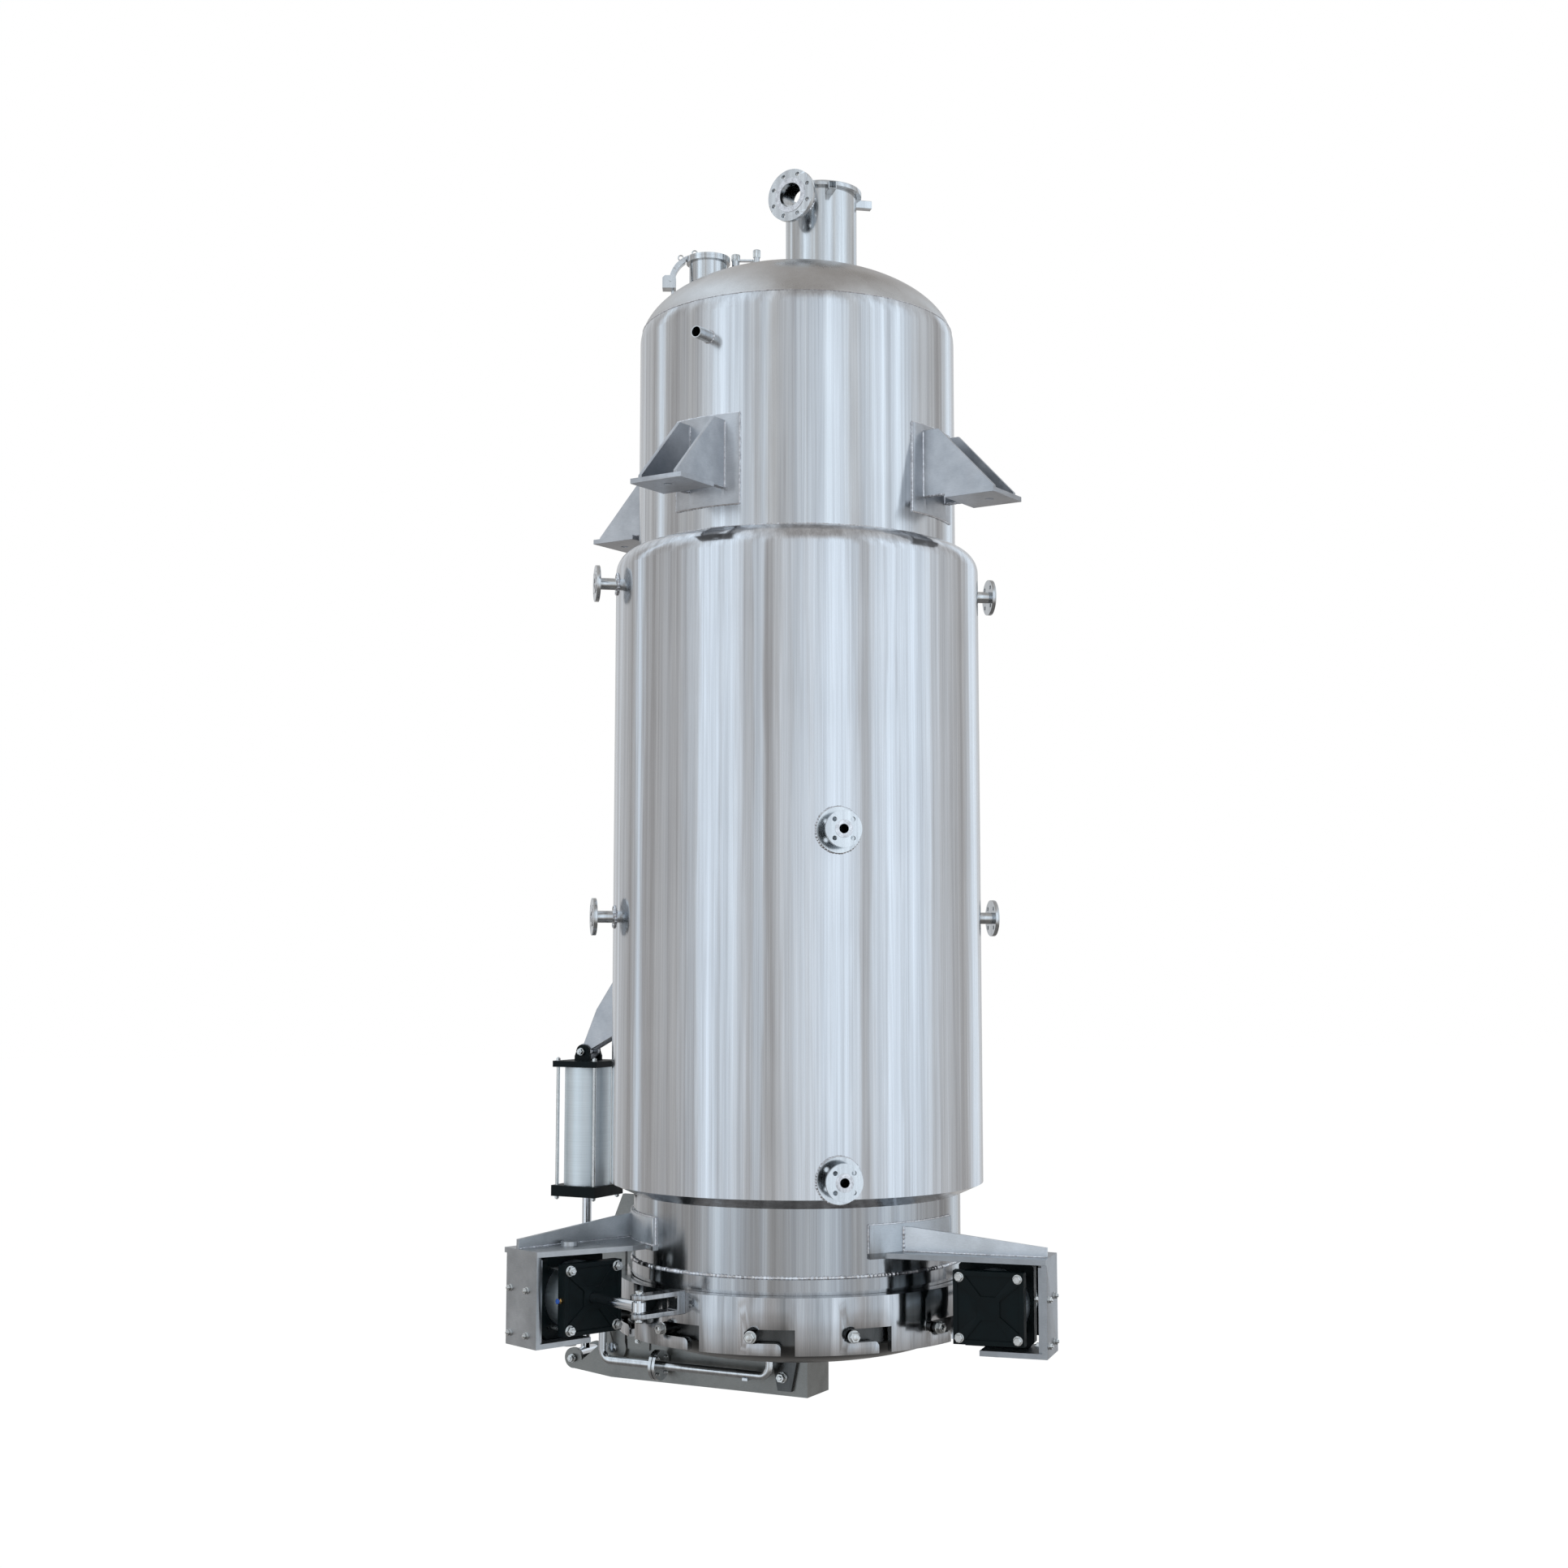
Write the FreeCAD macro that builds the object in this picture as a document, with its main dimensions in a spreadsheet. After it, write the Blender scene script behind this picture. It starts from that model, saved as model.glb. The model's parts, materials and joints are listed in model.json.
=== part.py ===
import FreeCAD
import Part
import Sketcher

import math
import os
import re

# Bottom-discharge extraction tank: insulated shell, heating jacket and a
# quick-opening bottom door held by a turning bayonet ring.
#
# Millimetres.  The origin is on the tank axis, in the plane of the undersides of
# the four support lugs; +Z is up and the front nozzles look along -Y.

UP = FreeCAD.Vector(0, 0, 1)
EAST = FreeCAD.Vector(1, 0, 0)
NORTH = FreeCAD.Vector(0, 1, 0)

SIZES = {
    # shell and head
    "shell_radius": 657, "bore_radius": 600, "shell_drop": 2990,
    "head_start": 746, "head_rise": 328, "head_wall": 57, "seam_height": 800,
    # heating jacket
    "jacket_radius": 750, "jacket_top_drop": 135, "jacket_round": 90,
    "jacket_rim_drop": 2690, "jacket_foot_drop": 2732,
    # top neck and its flange
    "neck_offset": 105, "neck_radius": 150, "neck_wall": 6, "neck_foot": 985,
    "neck_top": 1432, "rim_radius": 171, "rim_thick": 20,
    "clamp_side": 34, "clamp_wall": 4, "clamp_reach": 218,
    # branch on the neck
    "branch_height": 1355, "branch_angle": 225, "branch_reach": 240,
    "branch_radius": 54, "branch_bore": 51, "branch_flange": 110,
    "branch_thick": 20, "branch_circle": 90, "branch_hole": 9,
    # feed port on the head
    "feed_angle": 170, "feed_offset": 375, "feed_radius": 79.5, "feed_bore": 75,
    "feed_foot": 960, "feed_top": 1126, "feed_rim": 92, "feed_rim_thick": 14,
    "feed_rim_gap": 5, "feed_lid_thick": 10, "feed_lid_clear": 0.3,
    "feed_arm_wide": 34, "feed_arm_thick": 16, "feed_bend": 120,
    "feed_bend_thick": 22, "feed_bend_start": 44, "feed_bar_long": 104,
    "feed_pin_reach": 158, "feed_pin_drop": 91, "feed_pin_radius": 7,
    "feed_pin_clear": 0.05, "feed_eye_radius": 18, "feed_cheek_in": 22,
    "feed_cheek_out": 34, "feed_cheek_high": 20, "feed_cheek_thick": 11,
    "feed_cheek_clear": 0.3, "feed_base_thick": 10, "feed_base_clear": 6,
    "feed_post_radius": 6, "feed_post_in": 8, "feed_clamp_radius": 16,
    "feed_clamp_reach": 116, "feed_clamp_drop": 25, "feed_clamp_high": 52,
    "feed_strap_long": 70, "feed_strap_half": 10, "feed_strap_thick": 7,
    "vent_radius": 12, "vent_bore": 9, "vent_offset": 178, "vent_angle": 186,
    "vent_foot": 1040, "vent_top": 1160,
    # support lugs
    "pad_wide": 300, "pad_high": 360, "pad_drop": 45, "pad_thick": 8,
    "lug_wide": 240, "lug_reach": 985, "lug_inner": 770, "lug_plate": 20,
    "gusset_thick": 16, "gusset_high": 270, "gusset_gap": 150, "gusset_top": 70,
    "gusset_back": 12, "lug_hole": 16, "lug_circle": 905,
    # jacket nozzles
    "face_reach": 842, "side_upper_drop": 282, "side_lower_drop": 1636,
    "front_upper_drop": 1321, "front_lower_drop": 2619,
    "side_pipe": 24, "side_bore": 21.5, "side_flange": 75, "side_thick": 16,
    "side_circle": 55, "side_hole": 9,
    "front_pipe": 21, "front_bore": 18, "front_flange": 70, "front_thick": 16,
    "front_circle": 50, "front_hole": 9, "front_collar": 87,
    "front_collar_thick": 12, "side_collar": 42, "side_collar_thick": 5,
    "stub_angle": 226, "stub_height": 636, "stub_reach": 745,
    "stub_radius": 24, "stub_bore": 20,
    # bottom of a pipe that ends at a wall
    "pipe_floor": 2,
    # body flange and bayonet ring
    "flange_radius": 668, "flange_thick": 44, "groove_radius": 662,
    "groove_foot_drop": 3075, "seat_radius": 684, "seat_drop": 3095,
    "ring_radius": 717, "ring_wall": 27, "ring_top_drop": 3048,
    "ring_foot_drop": 3257, "ring_lip_clear": 5, "ring_seat_clear": 0.3,
    "slot_high": 50, "slot_drop": 3188, "slot_pitch": 30, "slot_start": 4.5,
    "slot_run": 12.9, "mouth_span": 4.2, "finger_round": 20,
    # bottom door
    "door_radius": 672, "door_bore": 610, "door_drop": 3225, "pin_radius": 18.5,
    "pin_reach": 738, "dish_radius": 665, "dish_depth": 140, "dish_wall": 20,
    "dish_lug_top": 62, "dish_lug_foot": 30, "dish_lug_drop": 3505,
    "dish_lug_bolt": 10, "dish_lug_pin_drop": 3452, "dish_lug_pin": 11,
    # door arm and its hinge
    "arm_angle": 140.2, "arm_half": 92, "arm_plate": 16, "arm_drop": 3525,
    "arm_top_drop": 3365, "arm_nose": 95, "tail_drop": 3464, "tail_radius": 42,
    "tail_run": 190, "tail_shoulder": 170, "tail_rise": 20,
    "block_in": 632, "block_gap": 2, "block_half": 100, "block_top_drop": 3294,
    "block_foot_drop": 3402, "block_slot": 44,
    "hinge_ring_gap": 28, "hinge_drop": 3400, "hinge_radius": 60,
    "hinge_pin_radius": 20, "hinge_pin_half": 124, "hinge_plate": 16,
    "hinge_top_drop": 2775, "hinge_top_out": 105, "hinge_waist_out": 53,
    "hinge_wide_drop": 3120, "hinge_wide_out": 105,
    # drain pipe under the door
    "drain_radius": 17, "drain_side": 157, "drain_drop": 3443, "drain_start": 40,
    "drain_end": 822, "drain_bend": 42, "drain_top_drop": 3285, "drain_nut": 26,
    "drain_nut_long": 36, "drain_flange": 60, "drain_flange_thick": 13,
    "drain_flange_at": 552, "drain_gasket": 4, "drain_strap_at": 143,
    "drain_strap_wide": 24, "drain_strap_thick": 6,
    # bayonet ring cylinders, seen in the frame of each one
    "left_station": 210, "right_station": 330, "lever": 895, "cyl_drop": 3083,
    "cap_half": 133, "cap_thick": 45, "cap_face": 160, "well_deep": 6,
    "well_in": 42, "well_out": 116, "well_near": 28, "well_far": 88,
    "cap_boss": 40, "barrel_long": 230, "barrel_radius": 129, "barrel_bore": 120,
    "tie_radius": 8, "tie_offset": 110, "yoke_half": 143, "yoke_front": 295,
    "yoke_thick": 50, "yoke_round": 24, "rod_radius": 20, "rod_clear": 0.3,
    "rod_tail": 75, "rod_pin_at": 120, "eye_radius": 26, "eye_half": 17,
    "eye_pin_radius": 10, "eye_pin_over": 6,
    # ears on the ring
    "ear_thick": 18, "ear_clear": 8, "ear_radius": 32, "ear_pin_gap": 12,
    "ear_root": 130, "ear_web": 60, "ear_web_out": 20,
    # cylinder brackets
    "frame_half": 160, "frame_outer": 1105, "frame_plate": 20, "frame_rear": 450,
    "frame_side": 435, "frame_front": 235, "frame_front_in": 150,
    "frame_nose": 60, "frame_foot_in": 850, "liner_thick": 14, "liner_edge": 12,
    "rib_at": 383, "rib_thick": 16, "rib_low": 35, "rib_high": 92, "rib_back": 8,
    "rib_crest": 577, "wrap_thick": 12, "wrap_high": 105, "wrap_start": -48,
    "wrap_span": 40, "nut_radius": 32, "nut_thick": 16, "nut_at": 320,
    # door cylinder
    "lift_gap": 150, "lift_half": 110, "lift_cap_top_drop": 2236,
    "lift_top_thick": 26, "lift_foot_drop": 2802, "lift_foot_thick": 45,
    "lift_radius": 99, "lift_tie_offset": 92, "lift_tie_radius": 7,
    "lift_pin_drop": 2198, "lift_ear_thick": 16, "lift_ear_radius": 30,
    "lift_ear_foot": 38, "lift_rod_radius": 20, "lift_hub_radius": 34,
    "lift_pin_radius": 11, "lift_pin_over": 8, "hanger_half": 35,
    "hanger_plate": 12, "hanger_web": 16, "hanger_top_drop": 1760,
    "hanger_top_out": 20, "hanger_foot_drop": 2020, "hanger_foot_in": 60,
    "hanger_nose_radius": 34,
}

# Radii that follow from others: the tail of the door arm hangs under the door
# cylinder, which clears the jacket, and the hinge stands clear of the ring.
TAIL = "(jacket_radius + lift_gap + lift_half)"
HINGE_IN = "(ring_radius + hinge_ring_gap)"
HINGE = "(ring_radius + hinge_ring_gap + hinge_radius - 5)"
FEED_PIN_Z = "(feed_top - feed_pin_drop)"

doc = FreeCAD.newDocument("extraction_tank")
sheet = doc.addObject("Spreadsheet::Sheet", "Sizes")
for row, (word, size) in enumerate(SIZES.items(), 1):
    sheet.set("A%d" % row, word)
    sheet.set("B%d" % row, str(size))
    sheet.setAlias("B%d" % row, word)
doc.recompute()

WORDS = re.compile(r"\b(" + "|".join(sorted(SIZES, key=len, reverse=True)) + r")\b")
nodes = []


def bind(item, prop, rule):
    """Tie a property to a rule written with the words of the sheet."""
    item.setExpression(prop, WORDS.sub(r"Sizes.\1", str(rule)))


def place(item, spot):
    """Tie the position of an item to the rules of its axes."""
    for axis, rule in zip("xyz", spot):
        if str(rule) != "0":
            bind(item, "Placement.Base." + axis, rule)
    return item


def make(kind, rules, at=("0", "0", "0"), turn=()):
    """A primitive with every size and its position bound to the sheet."""
    item = doc.addObject("Part::" + kind, kind)
    if turn:
        item.Placement = FreeCAD.Placement(FreeCAD.Vector(), FreeCAD.Rotation(*turn))
    for prop, rule in rules.items():
        bind(item, prop, rule)
    return place(item, at)


def box(x, y, z, dx, dy, dz):
    return make("Box", {"Length": dx, "Width": dy, "Height": dz}, (x, y, z))


AXES = {"x": (NORTH, 90), "y": (EAST, -90), "z": ()}


def rod(radius, size, x="0", y="0", z="0", axis="z"):
    """A cylinder starting at x, y, z and running along +axis."""
    return make("Cylinder", {"Radius": radius, "Height": size}, (x, y, z), AXES[axis])


def dome(radius, rise, z, sign):
    """Half of an ellipsoid above (sign 1) or below (-1) the level z."""
    span = {"Angle1": 0 if sign > 0 else -90, "Angle2": 90 if sign > 0 else 0}
    return make("Ellipsoid", {"Radius1": rise, "Radius2": radius, "Radius3": radius,
                              **span}, (0, 0, z))


PLANES = {"y": FreeCAD.Rotation(EAST, 90), "z": FreeCAD.Rotation()}
WAYS = {"y": NORTH, "z": UP}


def outline(axis, corners):
    """A closed sketch across an axis, with every corner bound to the sheet."""
    sketch = doc.addObject("Sketcher::SketchObject", "Outline")
    sketch.Placement = FreeCAD.Placement(FreeCAD.Vector(), PLANES[axis])
    count = len(corners)
    step = 2 * math.pi / count
    ring = [FreeCAD.Vector(math.cos(step * index), math.sin(step * index), 0)
            for index in range(count)]
    for index in range(count):
        sketch.addGeometry(Part.LineSegment(ring[index], ring[(index + 1) % count]))
    for index, corner in enumerate(corners):
        following = (index + 1) % count
        sketch.addConstraint(Sketcher.Constraint("Coincident", index, 2, following, 1))
        for kind, rule in zip(("DistanceX", "DistanceY"), corner):
            at = sketch.addConstraint(Sketcher.Constraint(kind, -1, 1, index, 1, 1.0))
            bind(sketch, "Constraints[%d]" % at, rule)
    return sketch


def plate(axis, corners, start, thick):
    """An outline pushed along +axis from start by its thickness."""
    item = doc.addObject("Part::Extrusion", "Plate")
    item.Base = outline(axis, corners)
    item.DirMode = "Custom"
    item.Dir = WAYS[axis]
    item.Solid = True
    bind(item, "LengthFwd", thick)
    bind(item, "Placement.Base." + axis, start)
    return item


def lathe(corners):
    """An outline of radius and height corners turned about the tank's axis."""
    item = doc.addObject("Part::Revolution", "Turning")
    item.Source = outline("y", corners)
    item.Axis = UP
    item.Angle = 360
    item.Solid = True
    return item


def join(*items):
    if len(items) == 1:
        item = doc.addObject("Part::Compound", "Hold")
        item.Links = list(items)
        return item
    item = doc.addObject("Part::MultiFuse", "Join")
    item.Shapes = list(items)
    item.Refine = True
    return item


def cut(base, *tools):
    item = doc.addObject("Part::Cut", "Cut")
    item.Base = base
    item.Tool = tools[0] if len(tools) == 1 else join(*tools)
    item.Refine = True
    return item


def common(*items):
    item = doc.addObject("Part::MultiCommon", "Common")
    item.Shapes = list(items)
    item.Refine = True
    return item


def turned(item, angle, x="0", y="0"):
    """Turn a finished piece about a vertical axis through x, y."""
    item.Placement = FreeCAD.Placement(FreeCAD.Vector(), FreeCAD.Rotation(UP, 10))
    bind(item, "Placement.Rotation.Angle", angle)
    return place(item, (x, y))


def node(name, item):
    item.Label = name
    nodes.append((name, item))
    return item


def hole_ring(circle, hole, count, first, face, depth):
    """Holes along +x round a circle about that axis, at height 0."""
    holes = []
    for step in range(count):
        angle = first + 360.0 / count * step
        across = "(%s) * cos(%s)" % (circle, angle)
        lift = "(%s) * sin(%s)" % (circle, angle)
        holes.append(rod(hole, depth, face, across, lift, "x"))
    return join(*holes)


def head_form():
    """The outside of the domed head, which trims what stands on it."""
    return dome("shell_radius", "head_rise", "head_start", 1)


# shell, head and jacket
def vessel():
    outer = join(rod("shell_radius", "shell_drop + head_start", z="-shell_drop"),
                 head_form())
    inner = join(rod("bore_radius", "shell_drop + head_start", z="-shell_drop"),
                 dome("bore_radius", "head_rise - head_wall", "head_start", 1))
    neck = rod("neck_radius", "neck_top", "neck_offset", z="head_start")
    feed = rod("feed_radius", "neck_top", "feed_offset * cos(feed_angle)",
               "feed_offset * sin(feed_angle)", "head_start")
    below = rod("shell_radius + 1", "shell_drop + seam_height", z="-shell_drop")
    above = rod("shell_radius + 1", "head_rise", z="seam_height")
    node("body_shell", cut(common(outer, below), inner))
    node("dome_head", cut(common(outer, above), inner, neck, feed))
    shoulder = "-jacket_top_drop - jacket_round"
    sleeve = lathe((("bore_radius", "-jacket_foot_drop"),
                    ("shell_radius", "-jacket_foot_drop"),
                    ("jacket_radius", "-jacket_rim_drop"),
                    ("jacket_radius", shoulder),
                    ("jacket_radius - jacket_round", "-jacket_top_drop"),
                    ("bore_radius", "-jacket_top_drop")))
    rounding = make("Torus", {"Radius1": "jacket_radius - jacket_round",
                              "Radius2": "jacket_round"}, (0, 0, shoulder))
    core = rod("shell_radius", "shell_drop", z="-shell_drop")
    node("heating_jacket", cut(join(sleeve, rounding), core))


PORTS = (("nozzle_left_upper", "side", "side_upper", 180),
         ("nozzle_left_lower", "side", "side_lower", 180),
         ("nozzle_right_upper", "side", "side_upper", 0),
         ("nozzle_right_lower", "side", "side_lower", 0),
         ("nozzle_front_upper", "front", "front_upper", 270),
         ("nozzle_front_lower", "front", "front_lower", 270))


def nozzle(name, kind, spot, angle):
    """A flanged pipe set on the jacket, with a collar disc round its foot."""
    face = "face_reach - %s_thick" % kind
    pipe = rod("%s_pipe" % kind, "face_reach - shell_radius", "shell_radius", axis="x")
    disc = rod("%s_flange" % kind, "%s_thick" % kind, face, axis="x")
    bore = rod("%s_bore" % kind, "face_reach", "jacket_radius + pipe_floor", axis="x")
    holes = hole_ring("%s_circle" % kind, "%s_hole" % kind, 4, 45,
                      face + " - 1", "%s_thick + 2" % kind)
    collar = rod("%s_collar" % kind, "%s_collar_thick * 2" % kind,
                 "jacket_radius - %s_collar_thick" % kind, axis="x")
    core = rod("jacket_radius", "front_collar * 4", z="-front_collar * 2")
    item = turned(cut(join(pipe, disc, collar), bore, holes, core), angle)
    bind(item, "Placement.Base.z", "-%s_drop" % spot)
    node(name, item)


def shell_stub():
    pipe = rod("stub_radius", "stub_reach - bore_radius", "bore_radius", "0",
               "stub_height", "x")
    bore = rod("stub_bore", "stub_reach", "shell_radius + pipe_floor", "0", "stub_height",
               "x")
    core = rod("shell_radius", "stub_radius * 4", z="stub_height - stub_radius * 2")
    node("shell_stub", turned(cut(pipe, bore, core), "stub_angle"))


# top neck with its branch
def top_neck():
    neck = rod("neck_radius", "neck_top - neck_foot", "neck_offset", z="neck_foot")
    bore = rod("neck_radius - neck_wall", "neck_top", "neck_offset", z="neck_foot - 1")
    side = turned(join(rod("branch_radius", "branch_reach", z="branch_height", axis="x")),
                  "branch_angle", "neck_offset")
    node("neck_tube", cut(neck, bore, side))
    pipe = rod("branch_radius", "branch_reach", z="branch_height", axis="x")
    disc = rod("branch_flange", "branch_thick", "branch_reach - branch_thick",
               z="branch_height", axis="x")
    hollow = rod("branch_bore", "branch_reach + 1", z="branch_height", axis="x")
    holes = place(hole_ring("branch_circle", "branch_hole", 8, 22.5,
                            "branch_reach - branch_thick - 1", "branch_thick + 2"),
                  ("0", "0", "branch_height"))
    inside = rod("neck_radius - neck_wall", "neck_top * 2")
    node("branch_nozzle", turned(cut(join(pipe, disc), hollow, holes, inside),
                                 "branch_angle", "neck_offset"))
    rim = rod("rim_radius", "rim_thick", "neck_offset", z="neck_top - rim_thick")
    plug = rod("neck_radius", "rim_thick + 2", "neck_offset", z="neck_top - rim_thick - 1")
    half = "clamp_side / 2"
    low = "neck_top - rim_thick - clamp_side"
    clamps = []
    for angle in (270, 0, 90, 180):
        tube = box("neck_radius - clamp_wall", "-" + half, low,
                   "clamp_reach - neck_radius + clamp_wall", "clamp_side", "clamp_side")
        core = box("neck_radius + clamp_wall * 2", "-(%s) + clamp_wall" % half,
                   low + " + clamp_wall", "clamp_reach", "clamp_side - 2 * clamp_wall",
                   "clamp_side - 2 * clamp_wall")
        clamps.append(turned(cut(tube, core, rod("neck_radius", "neck_top * 2")), angle,
                             "neck_offset"))
    node("neck_rim", join(cut(rim, plug), *clamps))


# feed port with its swinging lid
def feed_port():
    at = ("feed_offset * cos(feed_angle)", "feed_offset * sin(feed_angle)")
    tube = join(rod("feed_radius", "feed_top - feed_foot", z="feed_foot"),
                rod("feed_rim", "feed_rim_thick", z="feed_top - feed_rim_thick"))
    hollow = rod("feed_bore", "feed_top", z="feed_foot - 1")
    node("feed_neck", turned(cut(tube, hollow), "feed_angle", *at))
    seat = "(feed_top + feed_lid_clear)"
    level = "(feed_top + feed_lid_clear + feed_lid_thick)"
    node("feed_lid", turned(join(rod("feed_rim", "feed_lid_thick", z=seat)),
                            "feed_angle", *at))
    feed_arm(at, seat, level)
    feed_hinge(at)
    knob = rod("feed_clamp_radius", "feed_clamp_high", "-feed_clamp_reach",
               z="feed_top - feed_clamp_drop")
    stem = rod("feed_clamp_radius / 2", "feed_top - feed_clamp_drop - feed_foot + 1",
               "-feed_clamp_reach", z="feed_foot")
    strap = box("-feed_clamp_reach - feed_strap_long", "-feed_strap_half", "feed_top",
                "feed_strap_long", "feed_strap_half * 2", "feed_strap_thick")
    tip = rod("feed_strap_half", "feed_strap_thick", "-feed_clamp_reach - feed_strap_long",
              z="feed_top")
    node("feed_clamp", cut(turned(join(knob, stem, strap, tip), "feed_angle", *at),
                           head_form()))
    spot = ("vent_offset * cos(vent_angle)", "vent_offset * sin(vent_angle)")
    edge = "(vent_offset - vent_bore) / shell_radius"
    floor = "head_start + head_rise * sqrt(1 - %s * %s) + pipe_floor" % (edge, edge)
    node("vent_stub", cut(rod("vent_radius", "vent_top - vent_foot", *spot, z="vent_foot"),
                          rod("vent_bore", "vent_top", *spot, z=floor), head_form()))


def feed_arm(at, seat, level):
    """The bent bar that carries the lid: a bow from the hinge eye to the middle."""
    half = "feed_arm_wide / 2"
    centre = level + " + feed_arm_thick - feed_bend"
    bow = cut(make("Cylinder", {"Radius": "feed_bend", "Height": "feed_arm_wide",
                                "Angle": "90"},
                   ("feed_bend_start", half, centre), (EAST, 90)),
              rod("feed_bend - feed_bend_thick", "feed_arm_wide + 2", "feed_bend_start",
                  "-%s - 1" % half, centre, "y"))
    bar = box("feed_bend_start - feed_bar_long", "-" + half, level,
              "feed_bar_long + 1", "feed_arm_wide", "feed_arm_thick")
    eye = rod("feed_eye_radius", "feed_arm_wide", "feed_pin_reach", "-" + half,
              FEED_PIN_Z, "y")
    lid = rod("feed_rim", level + " - feed_foot", z="feed_foot")
    clear = rod("feed_rim + feed_rim_gap", seat + " - feed_foot", z="feed_foot")
    hole = rod("feed_pin_radius + feed_pin_clear", "feed_arm_wide + 2", "feed_pin_reach",
               "-%s - 1" % half, FEED_PIN_Z, "y")
    node("feed_arm", turned(cut(join(bow, bar, eye), lid, clear, hole), "feed_angle", *at))


def feed_hinge(at):
    """The fork on its post that holds the pin of the lid's arm."""
    inner = "(feed_arm_wide / 2 + feed_cheek_clear)"
    outer = "(feed_arm_wide / 2 + feed_cheek_clear + feed_cheek_thick)"
    under = "(feed_top - feed_pin_drop - feed_eye_radius - feed_base_clear)"
    near = "feed_pin_reach - feed_cheek_in"
    far = "feed_pin_reach + feed_cheek_out"
    top = FEED_PIN_Z + " + feed_cheek_high"
    pieces = [rod("feed_post_radius", under + " - head_start",
                  "feed_pin_reach - feed_post_in", z="head_start"),
              box(near, "-" + outer, under + " - feed_base_thick",
                  "feed_cheek_in + feed_cheek_out", "2 * " + outer, "feed_base_thick"),
              rod("feed_pin_radius", "2 * %s + 8" % outer, "feed_pin_reach",
                  "-%s - 4" % outer, FEED_PIN_Z, "y")]
    for start in ("-" + outer, inner):
        pieces.append(plate("y", ((near, under + " - 1"), (far, under + " - 1"),
                                  (far, top + " - feed_cheek_high / 2"),
                                  (far + " - feed_cheek_high / 2", top), (near, top)),
                            start, "feed_cheek_thick"))
    node("feed_hinge", cut(turned(join(*pieces), "feed_angle", *at), head_form()))


# support lugs
def support_lug(name, angle):
    pad = common(box("bore_radius", "-pad_wide / 2", "-pad_drop", "pad_wide", "pad_wide",
                     "pad_high"),
                 cut(rod("shell_radius + pad_thick", "pad_high", z="-pad_drop"),
                     rod("shell_radius", "pad_high + 2", z="-pad_drop - 1")))
    base = box("lug_inner", "-lug_wide / 2", "0", "lug_reach - lug_inner", "lug_wide",
               "lug_plate")
    hole = rod("lug_hole", "lug_plate + 2", "lug_circle", z="-1")
    ribs = [plate("y", (("bore_radius", "lug_plate - 1"),
                        ("lug_reach - gusset_back", "lug_plate - 1"),
                        ("lug_reach - gusset_back", "lug_plate + gusset_back"),
                        ("shell_radius + gusset_top", "lug_plate + gusset_high"),
                        ("bore_radius", "lug_plate + gusset_high")),
                  start, "gusset_thick")
            for start in ("-gusset_gap / 2 - gusset_thick", "gusset_gap / 2")]
    skin = rod("shell_radius + pad_thick", "pad_high * 2", z="-pad_drop")
    node("lug_" + name, turned(join(cut(join(base, *ribs), hole, skin), pad), angle))


# bayonet closure
def body_flange():
    node("body_flange", lathe((("bore_radius", "-shell_drop"),
                               ("flange_radius", "-shell_drop"),
                               ("flange_radius", "-shell_drop - flange_thick"),
                               ("groove_radius", "-shell_drop - flange_thick"),
                               ("groove_radius", "-groove_foot_drop"),
                               ("seat_radius", "-groove_foot_drop"),
                               ("seat_radius", "-seat_drop"),
                               ("bore_radius", "-seat_drop"))))


def ring_sector(z, high, start, span):
    """A wedge of the ring's outer cylinder, used to cut slots."""
    item = make("Cylinder", {"Radius": "ring_radius + 5", "Height": high, "Angle": span},
                ("0", "0", z), (UP, 10))
    bind(item, "Placement.Rotation.Angle", start)
    return item


def lock_ring():
    """The ring with its lip and twelve closed slots, each with an open mouth."""
    lip = "groove_radius + ring_lip_clear"
    inner = "ring_radius - ring_wall"
    under = "-groove_foot_drop + ring_seat_clear"
    wall = lathe(((inner, "-ring_foot_drop"), ("ring_radius", "-ring_foot_drop"),
                  ("ring_radius", "-ring_top_drop"), (lip, "-ring_top_drop"),
                  (lip, under), (inner, under)))
    floor = "(-slot_drop - slot_high / 2)"
    edge = "(slot_run - mouth_span)"
    curl = "(finger_round / ring_radius * 180 / pi)"
    slots = []
    for step in range(12):
        run = ring_sector(floor, "slot_high", "0", "slot_run")
        mouth = ring_sector("-ring_foot_drop - 1", "ring_foot_drop - slot_drop",
                            edge, "mouth_span")
        end = rod("slot_high / 2", "ring_radius + 5", "0", "0", "-slot_drop", "x")
        corner = ring_sector(floor + " - finger_round", "finger_round + 1",
                             edge + " - " + curl, curl + " + 0.1")
        nose = turned(join(rod("finger_round", "ring_radius + 5", "0", "0",
                               floor + " - finger_round", "x")), edge + " - " + curl)
        slots.append(turned(join(run, mouth, end, cut(corner, nose)),
                            "270 + slot_start + slot_pitch * %d" % step))
    node("lock_ring", cut(wall, *slots))


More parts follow.
